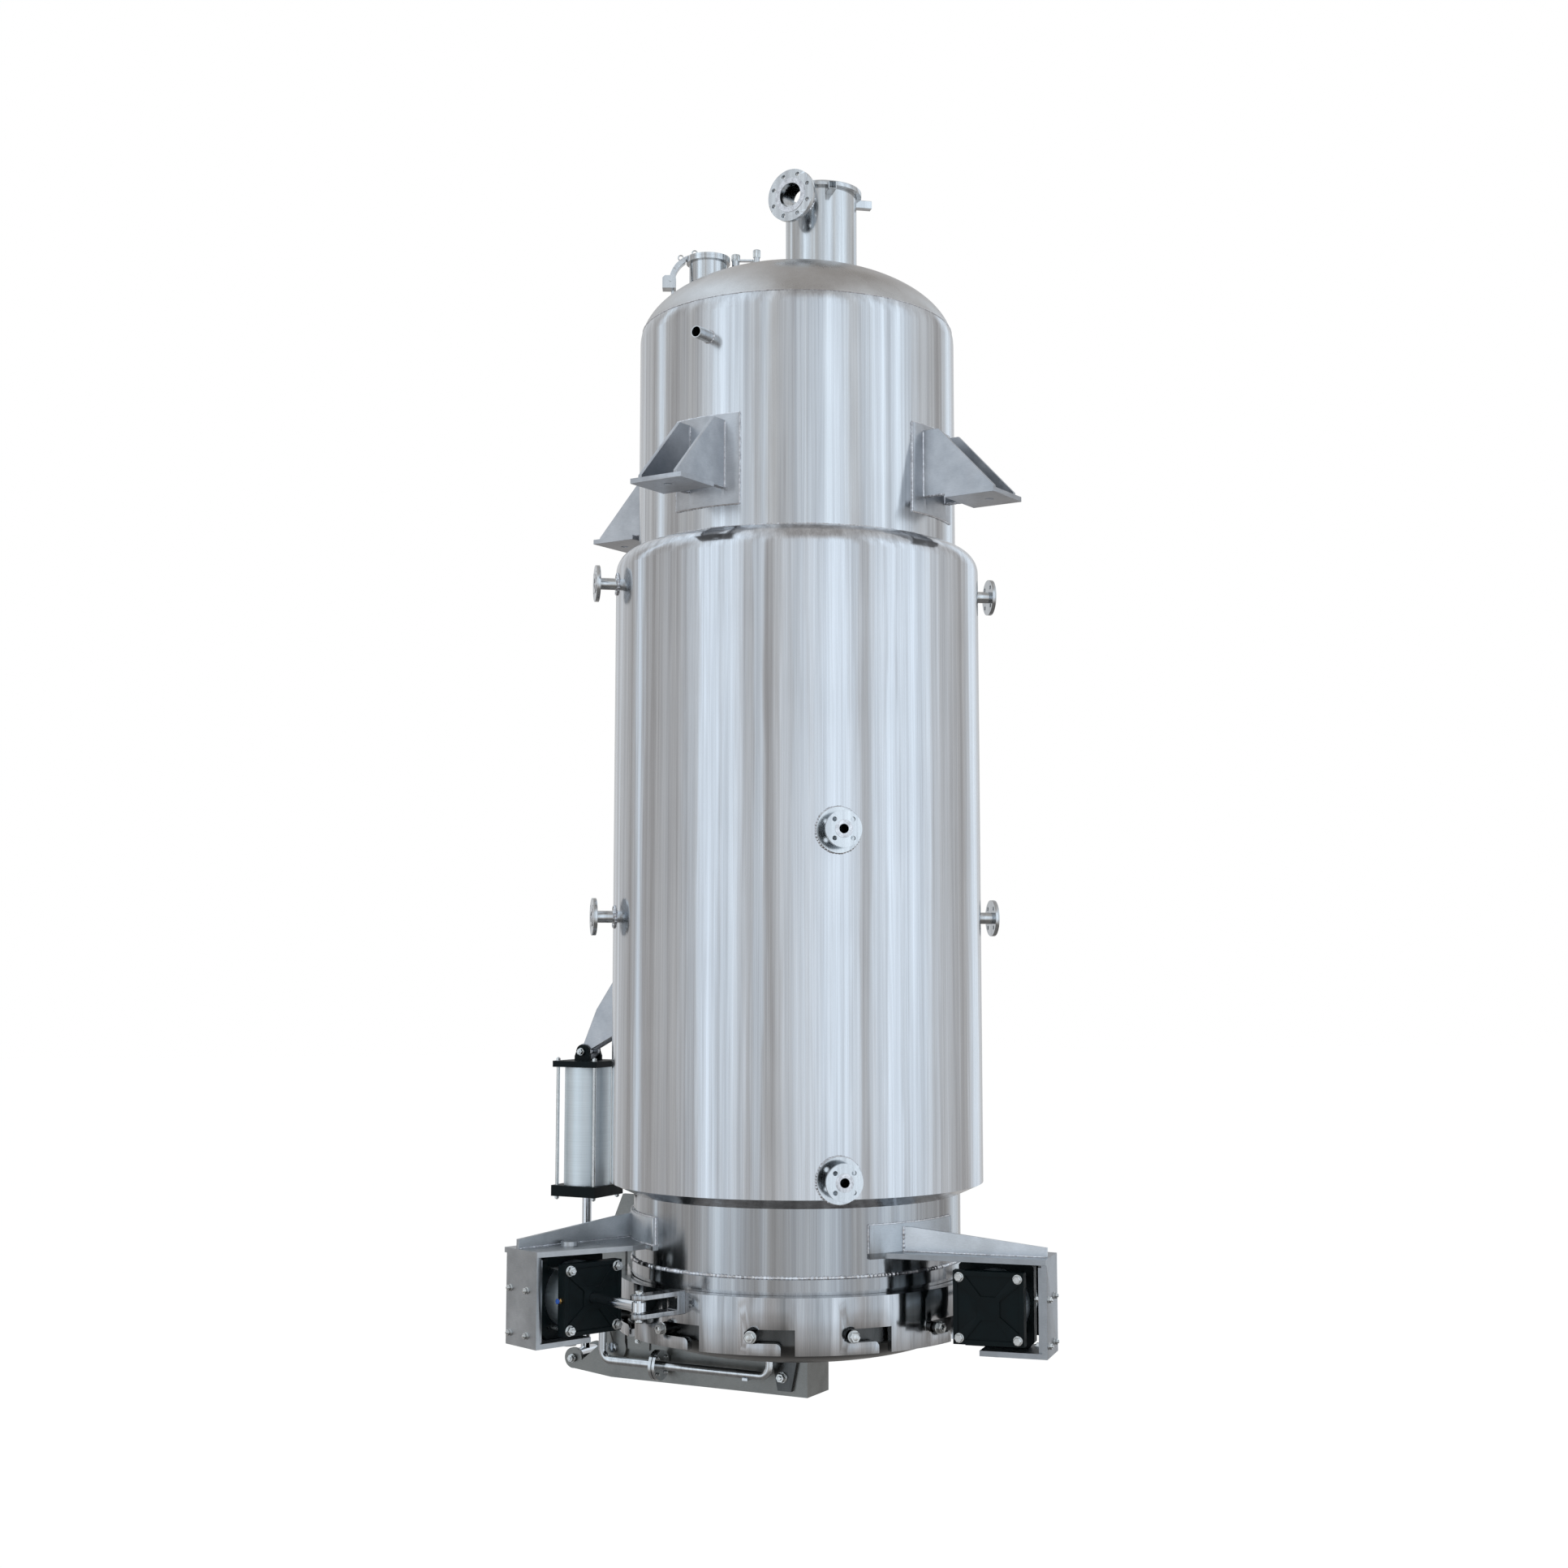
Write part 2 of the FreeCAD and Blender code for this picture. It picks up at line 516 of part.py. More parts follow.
def ring_ear(name, station):
    """Two plates on the ring that carry the pin of one cylinder rod."""
    gap = "(eye_half + ear_clear)"
    near = "rod_pin_at - ear_radius"
    far = "rod_pin_at + ear_radius"
    plates = []
    for low in ("-cyl_drop + " + gap, "-cyl_drop - %s - ear_thick" % gap):
        plates.append(rod("ear_radius", "ear_thick", "lever", "rod_pin_at", low))
        plates.append(plate("z", (("ring_radius - ear_root", near), ("lever", near),
                                  ("lever", far), ("ring_radius - ear_root", far)),
                            low, "ear_thick"))
    web = box("ring_radius - ear_web", near, "-cyl_drop - " + gap,
              "ear_web + ear_web_out", "ear_radius * 2", "2 * " + gap)
    holes = rod("eye_pin_radius + ear_pin_gap", "ear_root * 2", "lever", "rod_pin_at",
                "-cyl_drop - ear_root")
    core = rod("ring_radius", "ear_root * 2", z="-cyl_drop - ear_root")
    node("ring_ear_" + name, turned(cut(join(web, *plates), core, holes), station))


# ring cylinders and their brackets
def lock_rod(name, station):
    start = "(-cap_face - rod_tail)"
    bar = rod("rod_radius", "rod_pin_at - eye_radius - %s + 6" % start, "lever", start,
              "-cyl_drop", "y")
    eye = rod("eye_radius", "eye_half * 2", "lever", "rod_pin_at", "-cyl_drop - eye_half")
    span = "(eye_half + ear_clear + ear_thick + eye_pin_over)"
    pin = rod("eye_pin_radius", "2 * " + span, "lever", "rod_pin_at",
              "-cyl_drop - " + span)
    node("lock_rod_" + name, turned(join(bar, eye, pin), station))


def cap_wells(face):
    """Four shallow wells that leave a diagonal cross and a boss on a cap."""
    wells = []
    for side in (-1, 1):
        low, high = "(%d) * well_in" % side, "(%d) * well_out" % side
        flat = ((low, "(-well_near)"), (low, "well_near"), (high, "well_far"),
                (high, "(-well_far)"))
        for corners in (flat, tuple((across, along) for along, across in flat)):
            wells.append(plate("y", tuple(("lever + " + x, "-cyl_drop + " + z)
                                          for x, z in corners), face, "well_deep + 1"))
    boss = rod("cap_boss", "well_deep + 3", "lever", face + " - 1", "-cyl_drop", "y")
    return cut(join(*wells), boss)


def cap(low):
    return box("lever - cap_half", low, "-cyl_drop - cap_half", "cap_half * 2",
               "cap_thick", "cap_half * 2")


def tie_rods(start, size):
    return [rod("tie_radius", size, "lever + (%d) * tie_offset" % across, start,
                "-cyl_drop + (%d) * tie_offset" % up, "y")
            for across in (-1, 1) for up in (-1, 1)]


def lock_cylinder(name, station):
    front = "(-cap_face - cap_thick)"
    guide = rod("rod_radius + rod_clear", "cap_thick + 2", "lever", front + " - 1",
                "-cyl_drop", "y")
    node("front_cap_" + name, turned(cut(cap(front), cap_wells("-cap_face - well_deep"),
                                         guide), station))
    back = "(-cap_face - cap_thick - barrel_long)"
    tube = cut(rod("barrel_radius", "barrel_long", "lever", back, "-cyl_drop", "y"),
               rod("barrel_bore", "barrel_long + 2", "lever", back + " - 1",
                   "-cyl_drop", "y"))
    node("barrel_" + name, turned(tube, station))
    rear = cut(cap(back + " - cap_thick"), cap_wells(back + " - cap_thick - 1"))
    node("rear_cap_" + name,
         turned(join(rear, *tie_rods(back + " - 1", "barrel_long + 1")), station))
    yoke(name, station, back)


def yoke(name, station, back):
    """The trunnion block clamped round the barrel between the bracket's plates."""
    right, left = "lever + yoke_half", "lever - yoke_half"
    top, low = "-cyl_drop + frame_half", "-cyl_drop - frame_half"
    block = plate("y", ((left + " + yoke_round", low), (right + " - yoke_round", low),
                        (right, low + " + yoke_round"), (right, top + " - yoke_round"),
                        (right + " - yoke_round", top), (left + " + yoke_round", top),
                        (left, top + " - yoke_round"), (left, low + " + yoke_round")),
                  "-yoke_front - yoke_thick", "yoke_thick")
    core = rod("barrel_radius", "barrel_long", "lever", back, "-cyl_drop", "y")
    node("yoke_" + name, turned(cut(block, core, *tie_rods(back, "barrel_long")), station))


def cylinder_frame(name, station):
    """The bracket of one cylinder: shelf, outer plate, foot, liner, rib and wrap."""
    top = "(-cyl_drop + frame_half)"
    low = "(-cyl_drop - frame_half - frame_plate)"
    edge = "(-cyl_drop + frame_half + frame_plate)"
    shelf = plate("z", (("bore_radius / 2", "-frame_rear"), ("frame_outer", "-frame_rear"),
                        ("frame_outer", "-frame_front"),
                        ("shell_radius + frame_nose", "-frame_front_in"),
                        ("bore_radius / 2", "-frame_front_in")), top, "frame_plate")
    wall = "frame_outer - frame_plate"
    floor = low + " + frame_plate"
    bent = plate("y", (("frame_foot_in", low), ("frame_outer", low),
                       ("frame_outer", top + " + 1"), (wall, top + " + 1"),
                       (wall, floor), ("frame_foot_in", floor)),
                 "-frame_side", "frame_side - frame_front")
    liner = box(wall + " - liner_thick", "-frame_side + liner_edge", floor, "liner_thick",
                "frame_side - frame_front - 2 * liner_edge", "2 * frame_half - liner_edge")
    rib = plate("y", (("bore_radius / 2", edge + " - 1"),
                      ("frame_outer - rib_back", edge + " - 1"),
                      ("frame_outer - rib_back", edge + " + rib_low"),
                      ("rib_crest", edge + " + rib_high"),
                      ("bore_radius / 2", edge + " + rib_high")), "-rib_at", "rib_thick")
    nuts = [rod("nut_radius", "nut_thick", "lever", "-nut_at", z)
            for z in (low + " - nut_thick", edge)]
    skin = rod("shell_radius + wrap_thick", "frame_outer", z=low + " - frame_plate * 2")
    welded = cut(join(shelf, bent, liner, rib, *nuts), skin)
    band = make("Cylinder", {"Radius": "shell_radius + wrap_thick",
                             "Height": "wrap_high + frame_plate", "Angle": "wrap_span"},
                (0, 0, top))
    wrap = cut(band, rod("shell_radius", "wrap_high * 3", z=top + " - frame_plate"))
    node("frame_" + name, turned(join(welded, turned(wrap, "wrap_start")), station))


# bottom door
def door():
    rim = lathe((("door_bore", "-door_drop"), ("door_radius", "-door_drop"),
                 ("door_radius", "-seat_drop"), ("door_bore", "-seat_drop")))
    pins = [turned(join(rod("pin_radius", "pin_reach - door_bore - 5", "door_bore + 5", "0",
                            "-slot_drop", "x")),
                   "270 + slot_start + slot_pitch * %d" % step) for step in range(12)]
    node("door_rim", join(rim, *pins))
    outer = dome("dish_radius", "dish_depth", "-door_drop", -1)
    inner = dome("dish_radius - dish_wall", "dish_depth - dish_wall", "-door_drop", -1)
    root = "-door_drop - dish_depth + dish_wall / 2"
    lugs = [plate("y", (("-dish_lug_top", root), ("-dish_lug_foot", "-dish_lug_drop"),
                        ("dish_lug_foot", "-dish_lug_drop"), ("dish_lug_top", root)),
                  start, "arm_plate")
            for start in ("-arm_half - arm_plate", "arm_half")]
    bolt = rod("dish_lug_pin", "arm_half * 4", "dish_lug_bolt", "-arm_half * 2",
               "-dish_lug_pin_drop", "y")
    node("door_dish", join(cut(outer, inner), turned(cut(join(*lugs), bolt), "arm_angle")))


def door_arm():
    """A channel of welded plates, rounded at its tail and bolted to the door."""
    high = "(arm_drop - arm_top_drop)"
    taper = TAIL + " - tail_run"
    web = box("-arm_nose", "-arm_half", "-arm_drop", taper + " + arm_nose",
              "arm_half * 2", "arm_plate")
    end = box("-arm_nose", "-arm_half", "-arm_drop", "arm_plate", "arm_half * 2", high)
    sides = []
    for start in ("-arm_half", "arm_half - arm_plate"):
        sides.append(plate("y", (("-arm_nose", "-arm_drop"), (taper, "-arm_drop"),
                                 (TAIL, "-arm_drop + tail_rise"),
                                 (TAIL + " - tail_shoulder", "-arm_top_drop"),
                                 ("-arm_nose", "-arm_top_drop")), start, "arm_plate"))
        sides.append(rod("tail_radius", "arm_plate", TAIL, start, "-tail_drop", "y"))
    long = HINGE + " - hinge_radius - block_gap - block_in"
    block = box("block_in", "-block_half", "-block_foot_drop", long, "block_half * 2",
                "block_foot_drop - block_top_drop")
    relief = box("block_in - 1", "-block_slot", "-block_foot_drop - 1", long + " + 2",
                 "block_slot * 2", "block_foot_drop - block_top_drop - arm_plate")
    pin = rod("hinge_pin_radius", "arm_half * 4", HINGE, "-arm_half * 2",
              "-hinge_drop", "y")
    eye = rod("lift_pin_radius", "arm_half * 4", TAIL, "-arm_half * 2", "-tail_drop", "y")
    bolt = rod("dish_lug_pin", "arm_half * 4", "dish_lug_bolt", "-arm_half * 2",
               "-dish_lug_pin_drop", "y")
    node("door_arm", turned(cut(join(web, end, *sides, cut(block, relief)), pin, eye, bolt),
                            "arm_angle"))


def door_hinge():
    """Two tall plates on the shell and the pin between them."""
    for name, start in (("far", "-arm_half - hinge_plate"), ("near", "arm_half")):
        side = plate("y", (("bore_radius", "-shell_drop"), (HINGE_IN, "-shell_drop"),
                           (HINGE_IN, "-hinge_drop"),
                           (HINGE + " + hinge_radius - 4", "-hinge_drop"),
                           (HINGE + " + hinge_wide_out", "-hinge_wide_drop"),
                           (HINGE + " + hinge_waist_out", "-shell_drop"),
                           ("shell_radius + hinge_top_out", "-hinge_top_drop"),
                           ("bore_radius", "-hinge_top_drop")), start, "hinge_plate")
        knuckle = rod("hinge_radius", "hinge_plate", HINGE, start, "-hinge_drop", "y")
        pin = rod("hinge_pin_radius", "arm_half * 4", HINGE, "-arm_half * 2",
                  "-hinge_drop", "y")
        skin = rod("shell_radius", "shell_drop", z="-shell_drop - hinge_radius")
        node("hinge_plate_" + name, turned(cut(join(side, knuckle), pin, skin),
                                           "arm_angle"))
    node("hinge_pin", turned(join(rod("hinge_pin_radius", "hinge_pin_half * 2", HINGE,
                                      "-hinge_pin_half", "-hinge_drop", "y")),
                             "arm_angle"))


def elbow(x, z, pitch):
    """A quarter bend of the drain pipe about x, z, in the plane of its run."""
    return make("Torus", {"Radius1": "drain_bend", "Radius2": "drain_radius",
                          "Angle3": "90"}, (x, "drain_side", z), (0, pitch, 90))


def drain_pipe():
    """The pipe under the door: a flanged run with a bend up at each end."""
    level = "(-drain_drop + drain_bend)"
    start, stop = "(drain_start + drain_bend)", "(drain_end - drain_bend)"
    run = rod("drain_radius", stop + " - " + start, start, "drain_side", "-drain_drop",
              "x")
    rise = rod("drain_radius", "drain_drop - drain_bend - door_drop - dish_depth / 2",
               "drain_start", "drain_side", level)
    riser = rod("drain_radius", "drain_drop - drain_bend - drain_top_drop", "drain_end",
                "drain_side", level)
    nut = rod("drain_nut", "drain_nut_long", "drain_end", "drain_side",
              "-drain_top_drop - drain_nut_long / 2")
    discs = [rod("drain_flange", "drain_flange_thick", x, "drain_side", "-drain_drop", "x")
             for x in ("drain_flange_at - drain_gasket / 2 - drain_flange_thick",
                       "drain_flange_at + drain_gasket / 2")]
    strap = box("drain_strap_at - drain_strap_wide / 2", "arm_half",
                "-drain_drop - drain_radius - drain_strap_thick", "drain_strap_wide",
                "drain_side - arm_half + drain_radius", "drain_strap_thick + 4")
    bends = [elbow(start, level, 180), elbow(stop, level, 90)]
    dish = dome("dish_radius", "dish_depth", "-door_drop", -1)
    node("drain_pipe", cut(turned(join(run, rise, riser, nut, strap, *discs, *bends),
                                  "arm_angle"), dish))


# door cylinder
def lift_block(low, thick):
    return box(TAIL + " - lift_half", "-lift_half", low, "lift_half * 2",
               "lift_half * 2", thick)


def lift_cylinder():
    pin = rod("lift_pin_radius", "lift_half * 4", TAIL, "-lift_half * 2",
              "-lift_pin_drop", "y")
    middle = "(-lift_cap_top_drop - lift_pin_drop) / 2"
    ears = []
    for start in ("hanger_half", "-hanger_half - lift_ear_thick"):
        ears.append(plate("y", ((TAIL + " - lift_ear_foot", "-lift_cap_top_drop - 1"),
                                (TAIL + " + lift_ear_foot", "-lift_cap_top_drop - 1"),
                                (TAIL + " + lift_ear_foot", middle),
                                (TAIL + " + lift_ear_radius", "-lift_pin_drop"),
                                (TAIL + " - lift_ear_radius", "-lift_pin_drop"),
                                (TAIL + " - lift_ear_foot", middle)),
                          start, "lift_ear_thick"))
        ears.append(rod("lift_ear_radius", "lift_ear_thick", TAIL, start,
                        "-lift_pin_drop", "y"))
    top = lift_block("-lift_cap_top_drop - lift_top_thick", "lift_top_thick")
    node("lift_top_cap", turned(cut(join(top, *ears), pin), "arm_angle"))
    reach = "(hanger_half + lift_ear_thick + lift_pin_over)"
    node("lift_pin", turned(join(rod("lift_pin_radius", "2 * " + reach, TAIL,
                                     "-" + reach, "-lift_pin_drop", "y")), "arm_angle"))
    upper = "(-lift_cap_top_drop - lift_top_thick)"
    lower = "(-lift_foot_drop + lift_foot_thick)"
    node("lift_barrel", turned(join(rod("lift_radius", upper + " - " + lower, TAIL,
                                        z=lower)), "arm_angle"))
    ties = [rod("lift_tie_radius", "%s - %s + 1" % (upper, lower),
                TAIL + " + (%d) * lift_tie_offset" % out,
                "(%d) * lift_tie_offset" % across, lower + " - 1")
            for out in (-1, 1) for across in (-1, 1)]
    node("lift_foot_cap", turned(join(lift_block("-lift_foot_drop", "lift_foot_thick"),
                                      *ties), "arm_angle"))
    shaft = rod("lift_rod_radius", "tail_drop - lift_foot_drop", TAIL, z="-tail_drop")
    inside = "(arm_half - arm_plate)"
    hub = rod("lift_hub_radius", "2 * " + inside, TAIL, "-" + inside, "-tail_drop", "y")
    over = "(arm_half + lift_pin_over + 2)"
    cross = rod("lift_pin_radius", "2 * " + over, TAIL, "-" + over, "-tail_drop", "y")
    node("lift_rod", turned(join(shaft, hub, cross), "arm_angle"))
    lift_hanger(pin)


def lift_hanger(pin):
    """The welded bracket on the jacket from which the door cylinder hangs."""
    foot = TAIL + " - hanger_foot_in"
    crown = "jacket_radius + hanger_top_out"
    cheeks = []
    for start in ("-hanger_half", "hanger_half - hanger_plate"):
        cheeks.append(plate("y", (("shell_radius", "-hanger_foot_drop"),
                                  (TAIL + " - hanger_nose_radius / 2", "-lift_pin_drop"),
                                  (TAIL + " + hanger_nose_radius / 2", "-lift_pin_drop"),
                                  (foot, "-hanger_foot_drop"),
                                  (crown, "-hanger_top_drop"),
                                  ("shell_radius", "-hanger_top_drop")),
                            start, "hanger_plate"))
        cheeks.append(rod("hanger_nose_radius", "hanger_plate", TAIL, start,
                          "-lift_pin_drop", "y"))
    web = plate("y", ((foot + " - hanger_web", "-hanger_foot_drop"),
                      (foot, "-hanger_foot_drop"), (crown, "-hanger_top_drop"),
                      (crown + " - hanger_web", "-hanger_top_drop")),
                "-hanger_half", "hanger_half * 2")
    skin = rod("jacket_radius", "lift_pin_drop", z="-lift_pin_drop - lift_half")
    node("lift_hanger", turned(cut(join(web, *cheeks), skin, pin), "arm_angle"))


vessel()
for port in PORTS:
    nozzle(*port)
shell_stub()
top_neck()
feed_port()
for name, angle in (("front_left", 225), ("front_right", 315), ("back_right", 45),
                    ("back_left", 135)):
    support_lug(name, angle)
body_flange()
lock_ring()
for name, station in (("left", "left_station"), ("right", "right_station")):
    ring_ear(name, station)
    lock_rod(name, station)
    lock_cylinder(name, station)
    cylinder_frame(name, station)
door()
door_arm()
door_hinge()
drain_pipe()
lift_cylinder()

doc.recompute()
for item in doc.Objects:
    if "Invalid" in item.State or "Error" in item.State:
        raise RuntimeError("%s (%s) did not rebuild" % (item.Name, item.Label))
os.makedirs("parts", exist_ok=True)
for name, item in nodes:
    if item.Shape.isNull() or not item.Shape.isValid():
        raise RuntimeError("%s has no valid shape" % name)
    item.Shape.exportStep("parts/%s.step" % name)
print("wrote", len(nodes), "pieces")
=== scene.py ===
"""Looks of the bottom-discharge extraction tank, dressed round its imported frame."""

import json
import math

import bmesh
import bpy
from mathutils import Matrix, Vector


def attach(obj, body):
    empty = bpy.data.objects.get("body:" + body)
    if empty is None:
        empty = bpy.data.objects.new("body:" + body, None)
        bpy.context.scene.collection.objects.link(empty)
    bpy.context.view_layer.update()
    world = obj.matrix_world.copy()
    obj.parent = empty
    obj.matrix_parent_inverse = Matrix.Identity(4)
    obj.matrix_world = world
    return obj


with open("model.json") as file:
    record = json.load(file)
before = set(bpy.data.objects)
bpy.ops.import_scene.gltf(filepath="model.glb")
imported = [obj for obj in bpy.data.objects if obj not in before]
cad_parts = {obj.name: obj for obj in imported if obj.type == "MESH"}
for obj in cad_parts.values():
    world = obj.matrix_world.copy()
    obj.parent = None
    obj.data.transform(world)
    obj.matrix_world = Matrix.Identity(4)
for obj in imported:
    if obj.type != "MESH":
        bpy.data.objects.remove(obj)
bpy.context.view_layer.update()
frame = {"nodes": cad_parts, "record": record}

TAU = 2 * math.pi
UP = Vector((0, 0, 1))

# Sizes of the object, in metres and degrees, as the solids have them. First the shell
# with its head, ports and lugs.
SHELL_R = 0.657
SHELL_FOOT = -2.990
SEAM_Z = 0.800
HEAD_START = 0.746
HEAD_RISE = 0.328
JACKET_R = 0.750
JACKET_TOP = -0.135
NECK_X = 0.105
NECK_R = 0.150
BRANCH_Z = 1.355
BRANCH_REACH = 0.240
BRANCH_ANGLE = 225
FEED_ANGLE = 170
FEED_X = 0.375
FEED_R = 0.0795
FEED_CLAMP = -0.116
FEED_TOP = 1.126
ARM_BEND = 0.120
ARM_BEND_X = 0.044
ARM_BEND_Z = 1.0323
VENT_X = 0.178
VENT_ANGLE = 186
VENT_TOP = 1.160
STUB_ANGLE = 226
STUB_Z = 0.636
STUB_R = 0.024
STUB_BORE = 0.020
STUB_REACH = 0.745
PIPE_FLOOR = 0.002
LUG_ANGLES = (225, 315, 45, 135)
PAD_HALF = 0.150
PAD_LOW = -0.045
PAD_TOP = 0.315
PAD_R = 0.665
GUSSET_Y = 0.083
GUSSET_WELD = 0.009
GUSSET_LOW = 0.022
GUSSET_HIGH = 0.285
SEAT_END = 0.962
FLANGE_FACE = 0.842

# Jacket nozzles: angle and height of each, and the radii of the collar, the pipe, the
# bore and the raised face of each kind.
SIDE_PORTS = ((180, -0.282), (180, -1.636), (0, -0.282), (0, -1.636))
FRONT_PORTS = ((270, -1.321), (270, -2.619))
SIDE_RADII = (0.042, 0.024, 0.0217, 0.040)
FRONT_RADII = (0.087, 0.021, 0.0182, 0.034)
SIDE_COLLAR = 0.005
FRONT_COLLAR = 0.012

# The two ring cylinders, each along +y at the turn of its station. A bracket's wall is
# its plate and liner together.
STATIONS = {"left": 210, "right": 330}
LEVER = 0.895
CYL_Z = -3.083
CAP_FACE = -0.160
CAP_BACK = -0.480
CAP_HALF = 0.133
CAP_THICK = 0.045
CAP_GAP = 0.230
TIE_OFFSET = 0.110
TIE_R = 0.0085
ROD_PIN_Y = 0.120
ROD_PIN_HALF = 0.049
FRAME_OUTER = 1.105
FRAME_WALL = 0.034
FRAME_BOLTS_Y = (-0.409, -0.300)
FRAME_BOLTS_Z = (-3.051, -3.218)
SHELF_TOP = -2.903
WRAP_R = 0.669
WRAP_TOP = -2.798
RIB_Y = -0.383
RIB_THICK = 0.016
WRAP_TURNS = (-48, -8)

# The bayonet pins, the bottom door and the cylinder that lifts it.
SLOT_Z = -3.188
PIN_REACH = 0.738
PIN_START = 274.5
PIN_COUNT = 12
ARM_ANGLE = 140.2
ARM_SIDE = 0.092
LUG_SIDE = 0.108
TAIL_X = 1.010
TAIL_Z = -3.464
LUG_BOLT = (0.010, -3.452)
PLATE_TOP = -2.777
BLOCK_SIDE = 0.100
BLOCK_BOLTS = ((0.655, -3.318), (0.687, -3.318), (0.719, -3.318), (0.687, -3.368))
DRAIN_Y = 0.157
DRAIN_Z = -3.443
DRAIN_FLANGE_X = 0.552
DRAIN_FLANGE_REACH = 0.015
DRAIN_BOLTS_R = 0.044
LIFT_PIN_Z = -2.198
LIFT_PIN_HALF = 0.059
LIFT_TOP = -2.236
LIFT_FOOT = -2.802
LIFT_TOP_THICK = 0.026
LIFT_FOOT_THICK = 0.045
LIFT_TIE = 0.092
LIFT_TIE_R = 0.0076
HANGER_HALF = 0.035
HANGER_LOW = -2.11
HANGER_HIGH = -1.762

# Camera of the photograph.
IMAGE_PIXELS = 1932
FOCAL_PIXELS = 2612
AXIS_PIXEL = (982, 900)
CAMERA_REACH = 8.709
CAMERA_TURN = -12.0
CAMERA_LIFT = 6.09
CAMERA_Z = -1.795
SENSOR = 36.0

FLOOR_Z = -4.9

# Height below which the bare shell gets painted shade: darkened for the shade under the
# jacket's overhang above it.
JACKET_SHADE_Z = -2.735


def set_camera():
    data = bpy.data.cameras.new("photo_camera")
    data.sensor_width = SENSOR
    data.lens = FOCAL_PIXELS * SENSOR / IMAGE_PIXELS
    half = IMAGE_PIXELS / 2
    data.shift_x = (half - AXIS_PIXEL[0]) / IMAGE_PIXELS
    data.shift_y = (AXIS_PIXEL[1] - half) / IMAGE_PIXELS
    data.clip_end = 200
    camera = bpy.data.objects.new("photo_camera", data)
    bpy.context.scene.collection.objects.link(camera)
    turn = math.radians(CAMERA_TURN)
    camera.location = (CAMERA_REACH * math.sin(turn), -CAMERA_REACH * math.cos(turn), CAMERA_Z)
    camera.rotation_euler = (math.radians(90 + CAMERA_LIFT), 0, turn)
    bpy.context.scene.camera = camera


class Shader:
    """A short way to write node trees: each call adds a node and links its inputs."""

    def __init__(self, tree):
        self.tree = tree
        tree.nodes.clear()

    def add(self, kind, inputs=None, **settings):
        item = self.tree.nodes.new(kind)
        for key, value in settings.items():
            setattr(item, key, value)
        for key, value in (inputs or {}).items():
            self.put(item.inputs[key], value)
        return item

    def put(self, socket, value):
        if isinstance(value, bpy.types.NodeSocket):
            self.tree.links.new(value, socket)
        elif isinstance(value, bpy.types.Node):
            self.tree.links.new(value.outputs[0], socket)
        else:
            socket.default_value = value

    def math(self, operation, *values):
        item = self.tree.nodes.new("ShaderNodeMath")
        item.operation = operation
        for socket, value in zip(item.inputs, values):
            self.put(socket, value)
        return item.outputs[0]

    def mix(self, factor, low, high):
        item = self.tree.nodes.new("ShaderNodeMix")
        item.data_type = "RGBA"
        self.put(item.inputs[0], factor)
        self.put(item.inputs[6], low)
        self.put(item.inputs[7], high)
        return item.outputs[2]

    def blend(self, factor, low, high):
        return self.add("ShaderNodeMix", {0: factor, 2: low, 3: high}).outputs[0]

    def ramp(self, factor, stops, interpolation="LINEAR"):
        item = self.add("ShaderNodeValToRGB", {"Fac": factor})
        item.color_ramp.interpolation = interpolation
        elements = item.color_ramp.elements
        while len(elements) > 1:
            elements.remove(elements[-1])
        elements[0].position = stops[0][0]
        elements[0].color = rgba(stops[0][1])
        for place, colour in stops[1:]:
            elements.new(place).color = rgba(colour)
        return item.outputs[0]

    def remap(self, value, low, high, to_low, to_high):
        return self.add("ShaderNodeMapRange", {"Value": value, "From Min": low,
                                               "From Max": high, "To Min": to_low,
                                               "To Max": to_high}).outputs[0]


def rgba(colour):
    if isinstance(colour, (int, float)):
        return (colour, colour, colour, 1)
    return (*colour, 1)


# Walls of the studio as the metal sees them: turn from the camera's side, to the
# right positive, and how bright the wall is there.
WALLS = (
    (-180, 0.60), (-150, 0.72), (-124, 0.48), (-115, 1.02), (-107, 0.50), (-80, 0.56),
    (-66, 0.88), (-56, 1.28), (-47, 1.06), (-36, 0.88), (-28, 0.62), (-22, 0.90),
    (-16, 0.50), (-8, 0.70), (3, 0.86), (14, 0.98), (25, 1.16), (34, 1.02), (41, 0.66),
    (50, 1.00), (64, 1.18), (78, 1.10), (92, 0.84), (104, 0.68), (128, 0.56),
    (146, 1.06), (160, 0.72), (180, 0.60),
)
WALL_COOL = (0.90, 0.99, 1.08)
WALL_WARM = (1.04, 1.0, 0.97)
GROUND = 0.17


